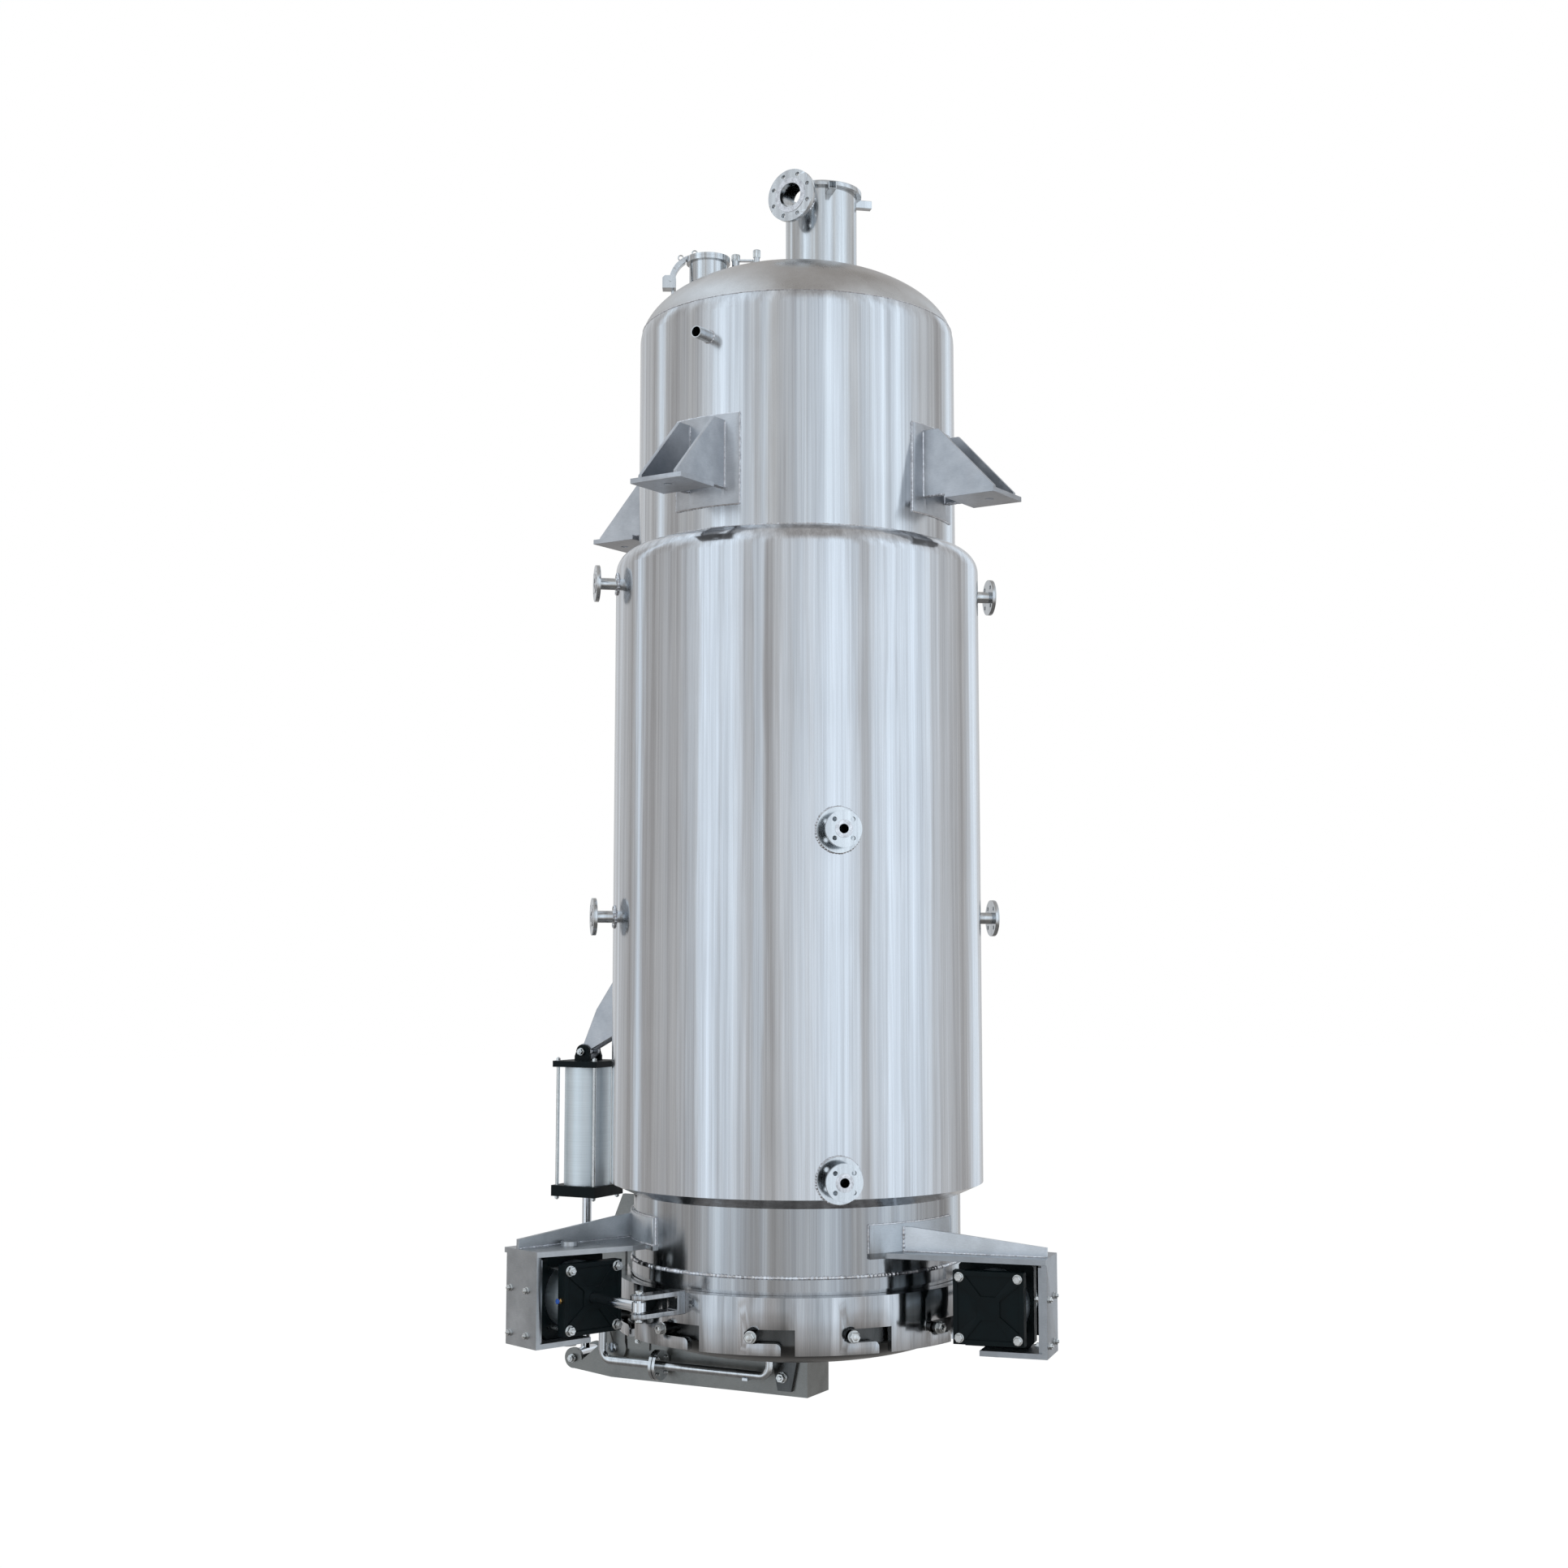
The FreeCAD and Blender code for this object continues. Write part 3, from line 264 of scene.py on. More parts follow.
def set_world():
    world = bpy.data.worlds.new("studio")
    bpy.context.scene.world = world
    world.use_nodes = True
    s = Shader(world.node_tree)
    place = s.add("ShaderNodeTexCoord").outputs["Generated"]
    axes = s.add("ShaderNodeSeparateXYZ", {"Vector": place})
    east, north, rise = axes.outputs
    turn = s.math("ARCTAN2", east, s.math("MULTIPLY", north, -1.0))
    turn = s.math("SUBTRACT", turn, math.radians(CAMERA_TURN))
    turn = s.math("WRAP", turn, math.pi, -math.pi)
    part = s.remap(turn, -math.pi, math.pi, 0.0, 1.0)
    walls = s.ramp(part, [((angle + 180) / 360, level / 2) for angle, level in WALLS],
                   "EASE")
    flat = s.math("SQRT", s.math("ADD", s.math("MULTIPLY", east, east),
                                 s.math("MULTIPLY", north, north)))
    flat = s.math("MAXIMUM", flat, 0.001)
    ring = s.add("ShaderNodeCombineXYZ", {0: s.math("DIVIDE", east, flat),
                                          1: s.math("DIVIDE", north, flat)})
    stripes = s.add("ShaderNodeTexNoise", {"Vector": ring, "Scale": 17.0, "Detail": 8.0,
                                           "Roughness": 0.78})
    level = s.math("MULTIPLY", s.math("MULTIPLY", walls, 2.0),
                   s.remap(stripes.outputs[0], 0.3, 0.7, 0.52, 1.42))
    right = s.math("ADD", s.math("MULTIPLY", east, math.cos(math.radians(CAMERA_TURN))),
                   s.math("MULTIPLY", north, math.sin(math.radians(CAMERA_TURN))))
    ceiling = s.math("ADD", s.remap(right, -0.50, -0.05, 1.05, 0.42),
                     s.remap(right, 0.25, 0.60, 0.0, 0.30))
    level = s.blend(s.remap(rise, 0.45, 0.80, 0.0, 1.0), level, ceiling)
    level = s.math("MULTIPLY", level, s.remap(rise, -0.24, -0.06, 0.74, 1.0))
    level = s.blend(s.remap(rise, -0.66, -0.30, 1.0, 0.0), level, GROUND)
    tint = s.mix(s.remap(level, 0.4, 1.0, 0.0, 1.0), rgba(WALL_WARM), rgba(WALL_COOL))
    seen = s.add("ShaderNodeLightPath")
    room = s.add("ShaderNodeBackground", {"Color": tint, "Strength": level})
    soft = s.add("ShaderNodeBackground", {"Color": (0.95, 0.98, 1.0, 1), "Strength": 0.60})
    white = s.add("ShaderNodeBackground", {"Color": (1, 1, 1, 1), "Strength": 1.0})
    glossy = s.add("ShaderNodeMixShader", {0: seen.outputs["Is Glossy Ray"], 1: soft, 2: room})
    shown = s.math("MAXIMUM", seen.outputs["Is Camera Ray"],
                   seen.outputs["Is Transmission Ray"])
    both = s.add("ShaderNodeMixShader", {0: shown, 1: glossy, 2: white})
    s.add("ShaderNodeOutputWorld", {"Surface": both})


def softbox(name, place, size, power, colour=(1, 1, 1)):
    data = bpy.data.lights.new(name, "AREA")
    data.shape = "RECTANGLE"
    data.size, data.size_y = size
    data.energy = power
    data.color = colour
    lamp = bpy.data.objects.new(name, data)
    bpy.context.scene.collection.objects.link(lamp)
    lamp.location = place
    lamp.visible_glossy = False
    aim = Vector((0, 0, -1.4)) - Vector(place)
    lamp.rotation_mode = "QUATERNION"
    lamp.rotation_quaternion = aim.to_track_quat("-Z", "Y")


def set_lamps():
    softbox("key", (-6.0, -6.5, 3.0), (3.0, 6.0), 62)
    softbox("fill", (7.0, -5.0, 1.0), (2.5, 6.0), 46, (0.93, 0.97, 1.0))
    softbox("back", (1.5, 7.0, 3.0), (4.0, 5.0), 66)


def set_floor():
    mesh = bpy.data.meshes.new("floor")
    shape = bmesh.new()
    bmesh.ops.create_grid(shape, x_segments=1, y_segments=1, size=60)
    shape.to_mesh(mesh)
    shape.free()
    floor = bpy.data.objects.new("floor", mesh)
    floor.location.z = FLOOR_Z
    bpy.context.scene.collection.objects.link(floor)
    paint = bpy.data.materials.new("floor_paint")
    paint.use_nodes = True
    s = Shader(paint.node_tree)
    seen = s.add("ShaderNodeLightPath")
    matt = s.add("ShaderNodeBsdfDiffuse", {"Color": (0.86, 0.87, 0.88, 1)})
    white = s.add("ShaderNodeEmission", {"Color": (1, 1, 1, 1), "Strength": 1.22})
    share = s.math("MULTIPLY", seen.outputs["Is Camera Ray"], 0.70)
    both = s.add("ShaderNodeMixShader", {0: share, 1: matt, 2: white})
    clear = s.add("ShaderNodeBsdfTransparent")
    both = s.add("ShaderNodeMixShader", {0: seen.outputs["Is Glossy Ray"], 1: both, 2: clear})
    s.add("ShaderNodeOutputMaterial", {"Surface": both})
    mesh.materials.append(paint)


def stretched(s, scale):
    """Object coordinates multiplied by scale on each axis."""
    place = s.add("ShaderNodeTexCoord").outputs["Object"]
    return s.add("ShaderNodeVectorMath", {0: place, 1: scale}, operation="MULTIPLY").outputs[0]


def noise(s, scale, detail=3.0, roughness=0.5):
    return s.add("ShaderNodeTexNoise", {"Vector": stretched(s, scale), "Scale": 1.0,
                                        "Detail": detail, "Roughness": roughness}).outputs[0]


def steel(name, dark, light, rough, streak_and_sheen=(9, 9, 0.25), brush=(4, 4, 900), sway=0.0,
          sway_scale=(8.0, 8.0, 0.14), grain=0.00001, aniso=0.0, blotch=0.0, under_jacket_shade=1.0,
          wrap_painted_light=1.0, above_shelf_highlight=1.0):
    """Stainless steel: long streaks, partly the sheet's own tone and partly painted reflection,
    a fine brush and a slight sway of the sheet.

    The three factors after blotch each set how bright a part is, as painted light: the sheet
    under the jacket, painted shade of its overhang; a bracket where it lies against the shell,
    painted light and shade; and its rib above the shelf, a painted highlight.
    """
    paint = bpy.data.materials.new(name)
    paint.use_nodes = True
    s = Shader(paint.node_tree)
    streaks_and_sheen = noise(s, streak_and_sheen, 5.0, 0.65)
    lines = noise(s, brush, 2.0, 0.6)
    cloud = noise(s, (3.0, 3.0, 3.0), 3.0, 0.55)
    # The streaks in the colour are partly the steel's own tone and partly painted reflection of
    # the studio's bright and dark bands.
    colour = s.mix(s.remap(streaks_and_sheen, 0.34, 0.66, 0.0, 1.0), rgba(dark), rgba(light))
    shade = s.remap(s.math("ADD", s.math("MULTIPLY", lines, 0.7),
                           s.math("MULTIPLY", cloud, 0.3)), 0.3, 0.7, 0.90, 1.08)
    place = s.add("ShaderNodeTexCoord").outputs["Object"]
    height = s.add("ShaderNodeSeparateXYZ", {"Vector": place}).outputs[2]
    # Painted shade: below this height the shell's colour is darkened for the shade under the
    # jacket.
    if under_jacket_shade != 1.0:
        shade = s.math("MULTIPLY", shade, s.remap(height, JACKET_SHADE_Z, JACKET_SHADE_Z + 0.01, under_jacket_shade, 1.0))
    # Painted highlight: above the shelf the bracket's rib is made lighter.
    if above_shelf_highlight != 1.0:
        shade = s.math("MULTIPLY", shade,
                       s.remap(height, SHELF_TOP, SHELF_TOP + 0.004, 1.0, above_shelf_highlight))
    # Painted light and shade on the band where a bracket lies against the shell.
    if wrap_painted_light != 1.0:
        flat = s.add("ShaderNodeVectorMath", {0: place, 1: (1, 1, 0)}, operation="MULTIPLY")
        reach = s.add("ShaderNodeVectorMath", {0: flat}, operation="LENGTH").outputs["Value"]
        shade = s.math("MULTIPLY", shade,
                       s.remap(reach, WRAP_R + 0.001, WRAP_R + 0.006, wrap_painted_light, 1.0))
    colour = s.add("ShaderNodeVectorMath", {0: colour, "Scale": shade}, operation="SCALE")
    uneven = s.math("ADD", s.math("MULTIPLY", streaks_and_sheen, 0.55), s.math("MULTIPLY", cloud, 0.45))
    matt = s.remap(uneven, 0.3, 0.7, rough * 0.75, rough * 1.3)
    if blotch:
        spots = noise(s, (14, 14, 14), 4.0, 0.6)
        matt = s.math("ADD", matt, s.remap(spots, 0.5, 0.75, 0.0, blotch))
    bump = s.add("ShaderNodeBump", {"Strength": 1.0, "Distance": grain, "Height": lines})
    normal = bump.outputs[0]
    if sway:
        waves = noise(s, sway_scale, 3.0, 0.5)
        normal = s.add("ShaderNodeBump", {"Strength": 1.0, "Distance": sway, "Height": waves,
                                          "Normal": normal}).outputs[0]
    skin = s.add("ShaderNodeBsdfPrincipled", {"Base Color": colour, "Metallic": 1.0,
                                              "Roughness": matt, "Normal": normal})
    if aniso:
        skin.inputs["Anisotropic"].default_value = aniso
        skin.inputs["Anisotropic Rotation"].default_value = 0.25
        tangent = s.add("ShaderNodeTangent", direction_type="RADIAL", axis="Z")
        s.put(skin.inputs["Tangent"], tangent)
    s.add("ShaderNodeOutputMaterial", {"Surface": skin})
    return paint


def plastic(name, colour, rough, gloss=0.5, peel=0.0001):
    """Painted, cast or moulded surface with a fine orange-peel bump."""
    paint = bpy.data.materials.new(name)
    paint.use_nodes = True
    s = Shader(paint.node_tree)
    cloud = noise(s, (18, 18, 18), 4.0, 0.6)
    grain = noise(s, (900, 900, 900), 2.0, 0.5)
    shade = s.remap(cloud, 0.3, 0.7, 0.75, 1.35)
    tone = s.add("ShaderNodeVectorMath", {0: colour, "Scale": shade}, operation="SCALE")
    matt = s.remap(cloud, 0.3, 0.7, rough * 0.8, rough * 1.2)
    bump = s.add("ShaderNodeBump", {"Strength": 0.6, "Distance": peel, "Height": grain})
    skin = s.add("ShaderNodeBsdfPrincipled", {"Base Color": tone, "Roughness": matt,
                                              "Normal": bump, "Specular IOR Level": gloss})
    s.add("ShaderNodeOutputMaterial", {"Surface": skin})
    return paint


def make_materials():
    upright = (280, 280, 1.6)
    return {
        # The shell under the jacket gets painted shade, 0.70 as bright.
        "shell_steel": steel("shell_steel", (0.50, 0.51, 0.53), (0.78, 0.81, 0.84), 0.16,
                             streak_and_sheen=(24, 24, 0.16), brush=upright, sway=0.0030,
                             sway_scale=(6.5, 6.5, 0.45), aniso=0.7, under_jacket_shade=0.70),
        "jacket_steel": steel("jacket_steel", (0.50, 0.51, 0.53), (0.79, 0.82, 0.86), 0.15,
                              streak_and_sheen=(24, 24, 0.16), brush=upright, sway=0.0034,
                              sway_scale=(6.5, 6.5, 0.45), aniso=0.7),
        "head_steel": steel("head_steel", (0.54, 0.53, 0.52), (0.68, 0.68, 0.68), 0.30,
                            streak_and_sheen=(4, 4, 4), brush=(240, 240, 240)),
        "pipe_steel": steel("pipe_steel", (0.54, 0.56, 0.58), (0.74, 0.77, 0.79), 0.15,
                            streak_and_sheen=(40, 40, 1.2), brush=(420, 420, 420)),
        "bracket_steel": steel("bracket_steel", (0.42, 0.44, 0.47), (0.60, 0.62, 0.65), 0.34,
                               streak_and_sheen=(6, 6, 6), brush=(60, 60, 700), blotch=0.08),
        # Left frame: painted highlight on the band against the shell, 1.3 as bright.
        "frame_steel": steel("frame_steel", (0.39, 0.41, 0.43), (0.54, 0.56, 0.58), 0.34,
                             streak_and_sheen=(6, 6, 6), brush=(60, 60, 700), blotch=0.08, wrap_painted_light=1.3),
        # Right frame, a copy of the frame steel with painted light: darker colours as painted
        # shade, a painted highlight 1.85 as bright above the shelf, and painted shade on the
        # band against the shell.
        "frame_painted_light": steel("frame_painted_light", (0.35, 0.375, 0.40), (0.46, 0.49, 0.525), 0.32,
                              streak_and_sheen=(6, 6, 6), brush=(60, 60, 700), blotch=0.08,
                              wrap_painted_light=0.62, above_shelf_highlight=1.85),
        "arm_steel": steel("arm_steel", (0.20, 0.205, 0.20), (0.29, 0.295, 0.285), 0.36,
                           streak_and_sheen=(7, 7, 7), brush=(90, 90, 500), blotch=0.1),
        "ring_steel": steel("ring_steel", (0.30, 0.31, 0.32), (0.60, 0.61, 0.63), 0.13,
                            streak_and_sheen=(15, 15, 0.5), brush=(240, 240, 4), sway=0.0010,
                            aniso=0.5),
        # The door's steel is painted nearly black: painted shade for a door seen from beneath.
        "door_steel": steel("door_steel", (0.07, 0.074, 0.075), (0.13, 0.134, 0.135), 0.30,
                            streak_and_sheen=(10, 10, 3)),
        "black_caps": plastic("black_caps", (0.003, 0.0075, 0.009), 0.42, 0.14),
        "barrel_metal": steel("barrel_metal", (0.76, 0.85, 0.90), (0.88, 0.95, 0.99), 0.48,
                              streak_and_sheen=(20, 20, 1)),
        "rod_chrome": steel("rod_chrome", (0.72, 0.75, 0.79), (0.82, 0.85, 0.88), 0.09,
                            streak_and_sheen=(3, 3, 3)),
        "weld": steel("weld", (0.50, 0.50, 0.52), (0.86, 0.87, 0.90), 0.17,
                      streak_and_sheen=(60, 60, 60), brush=(400, 400, 400), grain=0.0004),
        "zinc": steel("zinc", (0.60, 0.62, 0.62), (0.78, 0.80, 0.80), 0.24,
                      streak_and_sheen=(40, 40, 40), brush=(900, 900, 900)),
        "brass": steel("brass", (0.62, 0.42, 0.18), (0.78, 0.58, 0.30), 0.25,
                       streak_and_sheen=(40, 40, 40)),
        "blue_plastic": plastic("blue_plastic", (0.02, 0.10, 0.45), 0.30),
        "rubber": plastic("rubber", (0.012, 0.020, 0.018), 0.6, 0.3),
        # Nearly black lining of the bores: painted shade.
        "painted_bore_shade": steel("painted_bore_shade", (0.020, 0.024, 0.026), (0.05, 0.06, 0.065), 0.5,
                             streak_and_sheen=(60, 60, 60)),
    }


ROUNDED = ("frame_", "lug_", "front_cap_", "rear_cap_", "yoke_", "lift_foot_cap",
           "lift_top_cap", "lift_hanger", "hinge_plate_", "ring_ear_",
           "lock_ring", "nozzle_", "branch_nozzle", "neck_rim", "feed_arm")


# The two frames take copies of one frame steel, each with its own painted light and shade.
FINISHES_AND_LIT_COPIES = {"frame_left": "frame_steel", "frame_right": "frame_painted_light",
            "door_arm": "arm_steel", "hinge_plate_near": "arm_steel",
            "hinge_plate_far": "arm_steel"}


def dress_frame(paints):
    """Give every solid of the frame its finish, the two frames their copies with painted light
    and shade, and break the edges of plates.
    """
    slots = {row["node"]: row["material_slot"] for row in frame["record"]["subparts"]}
    for name, item in frame["nodes"].items():
        item.data.materials.clear()
        item.data.materials.append(paints[FINISHES_AND_LIT_COPIES.get(name, slots[name])])
        if name.startswith(ROUNDED):
            weld = item.modifiers.new("close_seams", "WELD")
            weld.merge_threshold = 0.00002
            edge = item.modifiers.new("broken_edges", "BEVEL")
            edge.width = 0.0018
            edge.segments = 2
            edge.limit_method = "ANGLE"
            edge.angle_limit = math.radians(50)


class Piece:
    """Gathers bolts, beads and turned forms into one mesh that rides on a body."""

    def __init__(self, turn=0.0, centre=(0, 0, 0)):
        self.shape = bmesh.new()
        self.frame = Matrix.Translation(centre) @ Matrix.Rotation(math.radians(turn), 4, "Z")

    def close(self, rings, ends=True):
        """Skin neighbouring rings of vertices; a ring of one vertex is a tip."""
        for low, high in zip(rings, rings[1:]):
            count = max(len(low), len(high))
            for k in range(count):
                n = (k + 1) % count
                face = [low[k % len(low)], low[n % len(low)], high[n % len(high)],
                        high[k % len(high)]]
                self.shape.faces.new(list(dict.fromkeys(face)))
        if ends:
            for ring in (rings[0], rings[-1]):
                if len(ring) > 2:
                    self.shape.faces.new(ring)

    def lathe(self, profile, at, along=UP, sides=28, flute=0.0):
        """Turn (radius, height) points about an axis; flutes pull in every other rib."""
        aim = Vector(along).to_track_quat("Z", "Y").to_matrix().to_4x4()
        where = self.frame @ Matrix.Translation(at) @ aim
        rings = []
        for radius, height in profile:
            ring = []
            for k in range(sides if radius > 1e-6 else 1):
                reach = radius * (1 - flute * (k % 2))
                turn = TAU * k / sides
                spot = Vector((reach * math.cos(turn), reach * math.sin(turn), height))
                ring.append(self.shape.verts.new(where @ spot))
            rings.append(ring)
        self.close(rings, ends=False)

    def ring(self, wrap_painted_light, outer, start, stop, at, along=UP, sides=48):
        """A flat ring with chamfered outer edges."""
        edge = min(outer - wrap_painted_light, abs(stop - start)) * 0.2
        self.lathe(((wrap_painted_light, start), (outer - edge, start), (outer, start + edge),
                    (outer, stop - edge), (outer - edge, stop), (wrap_painted_light, stop),
                    (wrap_painted_light, start)), at, along, sides)

    def bolt(self, at, along, flats, stud=True):
        """A hex head on its washer; flats is the width across the flats."""
        wide = flats / math.sqrt(3)
        washer, top = flats * 0.10, flats * 0.62
        self.lathe(((0, 0), (flats * 0.66, 0), (flats * 0.66, washer * 0.7),
                    (flats * 0.62, washer), (0, washer)), at, along, 24)
        self.lathe(((0, washer), (wide, washer), (wide, top * 0.86), (wide * 0.86, top),
                    (0, top)), at, along, 6)
        if stud:
            tip = flats * 0.28
            self.lathe(((tip, top * 0.9), (tip, top + flats * 0.14),
                        (tip * 0.8, top + flats * 0.2), (0, top + flats * 0.2)), at, along, 16)

    def bead(self, points, radius, closed=False):
        """A weld: a flattened tube whose ripples swell and sink along the run."""
        points = [self.frame @ Vector(point) for point in points]
        count = len(points)
        rings = []
        for i, point in enumerate(points):
            before = points[i - 1] if i or closed else point
            after = points[(i + 1) % count] if i < count - 1 or closed else point
            ahead = (after - before).normalized()
            side = ahead.cross(UP)
            if side.length < 0.2:
                side = ahead.cross(Vector((point.x, point.y, 0)).normalized())
            side.normalize()
            over = side.cross(ahead)
            swell = radius * (1 + 0.24 * math.sin(i * 2.2) + 0.16 * math.sin(i * 0.61)
                              + 0.10 * math.sin(i * 0.173))
            rings.append([self.shape.verts.new(point + swell * (math.cos(TAU * k / 7) * side
                                                               + math.sin(TAU * k / 7) * over))
                          for k in range(7)])
        if closed:
            rings.append(rings[0])
        self.close(rings, ends=not closed)

    def done(self, name, body, paint, slot):
        bmesh.ops.recalc_face_normals(self.shape, faces=self.shape.faces[:])
        mesh = bpy.data.meshes.new(name)
        for face in self.shape.faces:
            face.smooth = True
        self.shape.to_mesh(mesh)
        self.shape.free()
        mesh.set_sharp_from_angle(angle=math.radians(32))
        mesh.materials.append(paint)
        item = bpy.data.objects.new(name, mesh)
        bpy.context.scene.collection.objects.link(item)
        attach(item, body)
        return item


def arc(radius, z, start=0.0, stop=360.0, step=0.0055):
    """Points along a level arc about the tank's axis."""
    count = max(6, round(radius * math.radians(stop - start) / step))
    last = count if stop - start < 359 else count - 1
    turns = [math.radians(start + (stop - start) * k / count) for k in range(last + 1)]
    return [(radius * math.cos(turn), radius * math.sin(turn), z) for turn in turns]


def line(start, stop, step=0.0055):
    start, stop = Vector(start), Vector(stop)
    count = max(2, round((stop - start).length / step))
    return [start.lerp(stop, k / count) for k in range(count + 1)]


def round_port(wall, radius, z, step=0.004):
    """Points where a pipe along +x meets the round wall of the tank."""
    count = max(16, round(TAU * radius / step))
    points = []
    for k in range(count):
        across = radius * math.cos(TAU * k / count)
        points.append((math.sqrt(wall * wall - across * across), across,
                       z + radius * math.sin(TAU * k / count)))
    return points


def head_height(x, y):
    """Height of the domed head's outside at x, y."""
    return HEAD_START + HEAD_RISE * math.sqrt(1 - (x * x + y * y) / SHELL_R ** 2)


def head_port(centre, radius, step=0.004):
    """Points where an upright pipe meets the domed head."""
    count = max(16, round(TAU * radius / step))
    points = []
    for k in range(count):
        x = centre[0] + radius * math.cos(TAU * k / count)
        y = centre[1] + radius * math.sin(TAU * k / count)
        points.append((x, y, head_height(x, y)))
    return points


def polar(radius, angle):
    turn = math.radians(angle)
    return (radius * math.cos(turn), radius * math.sin(turn))


def shell_welds(paints):
    welds = Piece()
    welds.bead(arc(SHELL_R + 0.001, SHELL_FOOT + 0.004), 0.0078, True)
    welds.bead(arc(SHELL_R + 0.001, JACKET_TOP + 0.001), 0.0042, True)
    seam = SHELL_R * math.sqrt(1 - ((SEAM_Z - HEAD_START) / HEAD_RISE) ** 2)
    welds.bead(arc(seam, SEAM_Z), 0.0022, True)
    welds.bead(head_port((NECK_X, 0), NECK_R + 0.001), 0.0055, True)
    welds.bead(head_port(polar(FEED_X, FEED_ANGLE), FEED_R + 0.001), 0.0038, True)
    welds.bead(head_port(polar(VENT_X, VENT_ANGLE), 0.013), 0.0026, True)
    welds.done("shell_welds", "tank", paints["weld"], "shell_steel")
    stub = Piece(STUB_ANGLE)
    stub.bead(round_port(SHELL_R, STUB_R + 0.001, STUB_Z), 0.0034, True)
    stub.done("stub_weld", "tank", paints["weld"], "pipe_steel")
    painted_bore_shade("stub_bore_shade", Piece(STUB_ANGLE), (STUB_REACH, 0, STUB_Z), STUB_BORE - 0.0002,
                STUB_REACH - SHELL_R - PIPE_FLOOR, paints)


def lug_welds(paints):
    """Beads round each lug's pad and up both sides of its gussets."""
    span = math.degrees(math.asin(PAD_HALF / SHELL_R))
    for name, angle in zip(("front_left", "front_right", "back_right", "back_left"),
                           LUG_ANGLES):
        welds = Piece(angle)
        for z in (PAD_LOW, PAD_TOP):
            welds.bead(arc(SHELL_R + 0.002, z, -span, span), 0.0042)
        for side in (-1, 1):
            x, y = polar(SHELL_R + 0.002, side * span)
            welds.bead(line((x, y, PAD_LOW), (x, y, PAD_TOP)), 0.0042)
            for edge in (-GUSSET_WELD, GUSSET_WELD):
                y = side * (GUSSET_Y + edge)
                x = math.sqrt(PAD_R ** 2 - y * y)
                under_jacket_shade = GUSSET_LOW - 0.001
                welds.bead(line((x, y, GUSSET_LOW), (x, y, GUSSET_HIGH)), 0.0034)
                welds.bead(line((x + 0.01, y, under_jacket_shade), (SEAT_END, y, under_jacket_shade)), 0.0030)
        welds.done("lug_welds_" + name, "tank", paints["weld"], "bracket_steel")


def painted_bore_shade(name, lining, mouth, bore, deep, paints, along=(1, 0, 0)):
    """A nearly black lining down to the floor of an open pipe: painted shade for its unlit
    inside.
    """
    lining.lathe(((0, 0.0003 - deep), (bore, 0.0003 - deep), (bore, -0.005),
                  (bore - 0.0002, -0.005), (bore - 0.0002, 0.0006 - deep),
                  (0, 0.0006 - deep)), mouth, along, 32)
    lining.done(name, "tank", paints["painted_bore_shade"], "pipe_steel")


def port_trim(paints):
    """Beads, raised faces and collar rims of the jacket nozzles and the branch."""
    ports = [(SIDE_COLLAR, angle, z, *SIDE_RADII) for angle, z in SIDE_PORTS]
    ports += [(FRONT_COLLAR, angle, z, *FRONT_RADII) for angle, z in FRONT_PORTS]
    for index, (thick, angle, z, collar, pipe, bore, face) in enumerate(ports):
        trim = Piece(angle)
        trim.bead(round_port(JACKET_R + 0.002, collar, z), 0.0046, True)
        turns = [TAU * k / 40 for k in range(40)]
        trim.bead([(JACKET_R + thick, (pipe + 0.001) * math.cos(turn),
                    z + (pipe + 0.001) * math.sin(turn)) for turn in turns], 0.0034, True)
        trim.ring(bore, face, -0.0005, 0.002, (FLANGE_FACE, 0, z), (1, 0, 0))
        trim.done("port_trim_%d" % index, "tank", paints["weld"], "pipe_steel")
        painted_bore_shade("port_bore_shade_%d" % index, Piece(angle), (FLANGE_FACE, 0, z), bore - 0.0004,
                    FLANGE_FACE - JACKET_R - PIPE_FLOOR, paints)
    branch = Piece(BRANCH_ANGLE, (NECK_X, 0, 0))
    branch.ring(0.0513, 0.073, -0.0005, 0.002, (BRANCH_REACH, 0, BRANCH_Z), (1, 0, 0), 64)
    branch.bead(round_port(NECK_R + 0.001, 0.055, BRANCH_Z), 0.0040, True)
    branch.done("branch_trim", "tank", paints["weld"], "pipe_steel")


def tie_rods(piece, offset, radius, low, high, corner, along):
    """Four bright tie rods between the caps of a cylinder."""
    for out in (-offset, offset):
        for up in (-offset, offset):
            piece.lathe(((radius * 0.6, low), (radius, low), (radius, high),
                         (radius * 0.6, high), (radius * 0.6, low)), corner(out, up), along, 16)


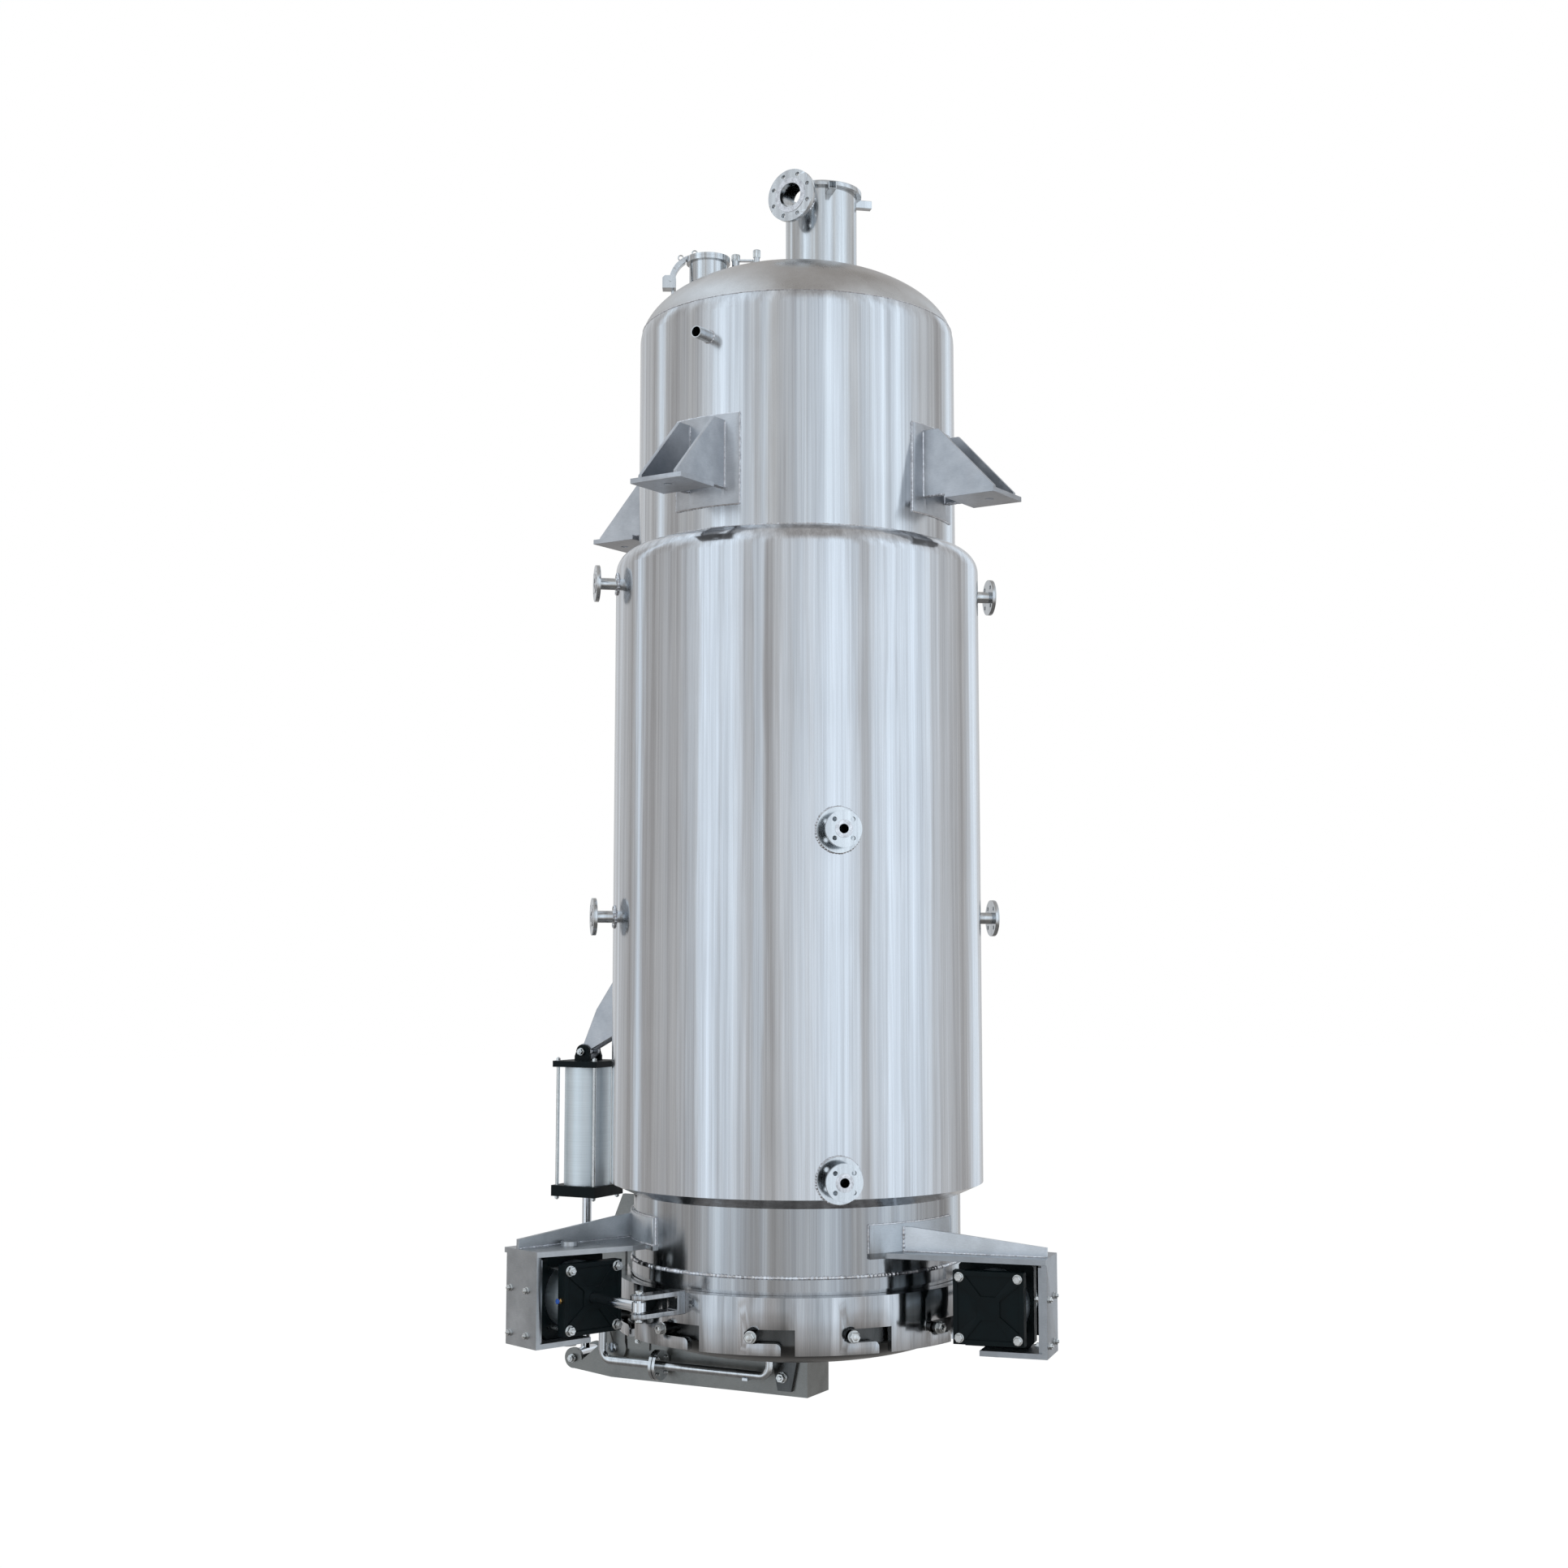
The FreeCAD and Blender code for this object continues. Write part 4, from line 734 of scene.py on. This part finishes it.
def cylinder_trim(name, station, paints):
    """Bolts of one ring cylinder and its bracket, its air fitting and the welds."""
    bolts = Piece(station)
    for out in (-TIE_OFFSET, TIE_OFFSET):
        for up in (-TIE_OFFSET, TIE_OFFSET):
            bolts.bolt((LEVER + out, CAP_FACE, CYL_Z + up), (0, 1, 0), 0.031)
            bolts.bolt((LEVER + out, CAP_BACK, CYL_Z + up), (0, -1, 0), 0.027, stud=False)
    for ahead in FRAME_BOLTS_Y:
        for z in FRAME_BOLTS_Z:
            bolts.bolt((FRAME_OUTER, ahead, z), (1, 0, 0), 0.021)
            bolts.bolt((FRAME_OUTER - FRAME_WALL, ahead, z), (-1, 0, 0), 0.021)
    tie_rods(bolts, TIE_OFFSET, TIE_R, 0.0, CAP_GAP,
             lambda out, up: (LEVER + out, CAP_FACE - CAP_THICK, CYL_Z + up), (0, -1, 0))
    bolts.done("bracket_bolts_" + name, "tank", paints["zinc"], "rod_chrome")
    side = (LEVER + CAP_HALF, CAP_FACE - CAP_THICK / 2, CYL_Z)
    fitting = Piece(station)
    fitting.lathe(((0, 0), (0.011, 0), (0.011, 0.007), (0.0095, 0.009), (0, 0.009)),
                  side, (1, 0, 0), 6)
    fitting.lathe(((0.006, 0.008), (0.006, 0.014), (0, 0.014)), side, (1, 0, 0), 20)
    fitting.done("air_fitting_" + name, "tank", paints["brass"], "rod_chrome")
    collar = Piece(station)
    collar.lathe(((0, 0.0135), (0.008, 0.0135), (0.0095, 0.016), (0.0095, 0.021),
                  (0.006, 0.023), (0, 0.0215)), side, (1, 0, 0), 24)
    collar.done("air_collar_" + name, "tank", paints["blue_plastic"], "black_caps")
    welds = Piece(station)
    rib_x = math.sqrt(WRAP_R ** 2 - RIB_Y ** 2)
    welds.bead(line((rib_x, RIB_Y, SHELF_TOP), (rib_x, RIB_Y, WRAP_TOP - 0.012)), 0.0052)
    for along in (0, RIB_THICK):
        welds.bead(line((rib_x, RIB_Y + along, SHELF_TOP + 0.001),
                        (FRAME_OUTER - 0.012, RIB_Y + along, SHELF_TOP + 0.001)), 0.0032)
    welds.bead(arc(WRAP_R, SHELF_TOP + 0.001, -33, -8), 0.0045)
    welds.bead(arc(SHELL_R + 0.002, WRAP_TOP, *WRAP_TURNS), 0.0040)
    for angle in WRAP_TURNS:
        x, y = polar(SHELL_R + 0.002, angle)
        welds.bead(line((x, y, SHELF_TOP), (x, y, WRAP_TOP)), 0.0040)
    welds.done("bracket_welds_" + name, "tank", paints["weld"], "bracket_steel")
    pins = Piece(station)
    for way in (-1, 1):
        pins.lathe(((0, 0), (0.016, 0), (0.016, 0.006), (0.013, 0.009), (0, 0.009)),
                   (LEVER, ROD_PIN_Y, CYL_Z + way * ROD_PIN_HALF), (0, 0, way), 28)
    pins.done("rod_pin_heads_" + name, "rod_" + name, paints["zinc"], "rod_chrome")


def door_trim(paints):
    """Heads of the twelve bayonet pins, and the bolts of the door arm and its hinge."""
    for step in range(PIN_COUNT):
        head = Piece(PIN_START + 360 / PIN_COUNT * step)
        head.bolt((PIN_REACH, 0, SLOT_Z), (1, 0, 0), 0.036, stud=False)
        head.lathe(((0.0105, 0.0215), (0.0105, 0.0235), (0.008, 0.0245), (0, 0.0245)),
                   (PIN_REACH, 0, SLOT_Z), (1, 0, 0), 20)
        head.done("pin_head_%02d" % step, "tank", paints["zinc"], "rod_chrome")
    bolts = Piece(ARM_ANGLE)
    for way in (-1, 1):
        bolts.bolt((TAIL_X, way * (ARM_SIDE + 0.010), TAIL_Z), (0, way, 0), 0.026)
        bolts.bolt((LUG_BOLT[0], way * LUG_SIDE, LUG_BOLT[1]), (0, way, 0), 0.034)
        bolts.bolt((TAIL_X, way * LIFT_PIN_HALF, LIFT_PIN_Z), (0, way, 0), 0.024)
        for x, z in BLOCK_BOLTS:
            bolts.bolt((x, way * BLOCK_SIDE, z), (0, way, 0), 0.018)
        for out in (-LIFT_TIE, LIFT_TIE):
            bolts.bolt((TAIL_X + out, way * LIFT_TIE, LIFT_TOP), (0, 0, 1), 0.018)
            bolts.bolt((TAIL_X + out, way * LIFT_TIE, LIFT_FOOT), (0, 0, -1), 0.018)
    tie_rods(bolts, LIFT_TIE, LIFT_TIE_R, LIFT_FOOT + LIFT_FOOT_THICK,
             LIFT_TOP - LIFT_TOP_THICK, lambda out, up: (TAIL_X + out, up, 0), (0, 0, 1))
    for k in range(4):
        across, up = polar(DRAIN_BOLTS_R, 45 + 90 * k)
        for way in (1, -1):
            x = DRAIN_FLANGE_X + way * DRAIN_FLANGE_REACH
            bolts.bolt((x, DRAIN_Y + across, DRAIN_Z + up), (way, 0, 0), 0.013)
    bolts.done("door_bolts", "tank", paints["zinc"], "rod_chrome")
    gasket = Piece(ARM_ANGLE)
    gasket.ring(0.0175, 0.0585, -0.002, 0.002, (DRAIN_FLANGE_X, DRAIN_Y, DRAIN_Z), (1, 0, 0))
    gasket.done("drain_gasket", "tank", paints["rubber"], "black_caps")
    welds = Piece(ARM_ANGLE)
    for way in (-1, 1):
        y = way * (HANGER_HALF + 0.001)
        x = math.sqrt(JACKET_R ** 2 - y * y)
        welds.bead(line((x, y, HANGER_LOW), (x, y, HANGER_HIGH)), 0.0042)
        for edge in (ARM_SIDE, LUG_SIDE):
            y = way * edge
            x = math.sqrt(SHELL_R ** 2 - y * y)
            welds.bead(line((x, y, SHELL_FOOT + 0.012), (x, y, PLATE_TOP)), 0.0042)
    welds.done("hinge_welds", "tank", paints["weld"], "bracket_steel")


def loop(piece, centre, lean, radius, wire):
    """An eye of round wire standing on the feed arm."""
    points = []
    for k in range(28):
        turn = TAU * k / 28
        out, up = radius * math.cos(turn), radius * math.sin(turn)
        points.append((centre[0] + out * math.cos(lean) + up * math.sin(lean), 0.0,
                       centre[1] - out * math.sin(lean) + up * math.cos(lean)))
    ring = []
    for k, point in enumerate(points):
        ahead = Vector(points[(k + 1) % 28]) - Vector(points[k - 1])
        side = ahead.normalized().cross(Vector((0, 1, 0)))
        ring.append([piece.shape.verts.new(piece.frame @ (Vector(point)
                     + wire * (math.cos(TAU * j / 8) * side
                               + math.sin(TAU * j / 8) * Vector((0, 1, 0)))))
                     for j in range(8)])
    ring.append(ring[0])
    piece.close(ring, ends=False)


def feed_trim(paints):
    """Fluted knob of the clamp, ribs of the vent, and the eyes on the lid's arm."""
    x, y = polar(FEED_X, FEED_ANGLE)
    knob = Piece(FEED_ANGLE, (x, y, 0))
    knob.lathe(((0, 0), (0.0175, 0), (0.0185, 0.004), (0.0185, 0.024), (0.0170, 0.028),
                (0, 0.028)), (FEED_CLAMP, 0, FEED_TOP), UP, 32, 0.10)
    knob.done("clamp_knob", "tank", paints["zinc"], "pipe_steel")
    vent_x, vent_y = polar(VENT_X, VENT_ANGLE)
    vent = Piece(0, (vent_x, vent_y, 0))
    vent.lathe(((0.0092, -0.034), (0.0150, -0.034), (0.0158, -0.030), (0.0158, -0.004),
                (0.0148, -0.001), (0.0092, -0.001), (0.0092, -0.034)),
               (0, 0, VENT_TOP), UP, 36, 0.08)
    vent.done("vent_nut", "tank", paints["zinc"], "pipe_steel")
    eyes = Piece(FEED_ANGLE, (x, y, 0))
    for degrees in (6, 34):
        lean = math.radians(degrees)
        reach = ARM_BEND + 0.009
        loop(eyes, (ARM_BEND_X + reach * math.sin(lean), ARM_BEND_Z + reach * math.cos(lean)),
             lean, 0.0105, 0.0030)
    eyes.done("lid_eyes", "feed_cover", paints["zinc"], "pipe_steel")


bpy.context.scene.view_settings.view_transform = "Standard"
set_camera()
set_world()
set_lamps()
set_floor()
paints = make_materials()
dress_frame(paints)
shell_welds(paints)
lug_welds(paints)
port_trim(paints)
for side_name, side_station in STATIONS.items():
    cylinder_trim(side_name, side_station, paints)
door_trim(paints)
feed_trim(paints)
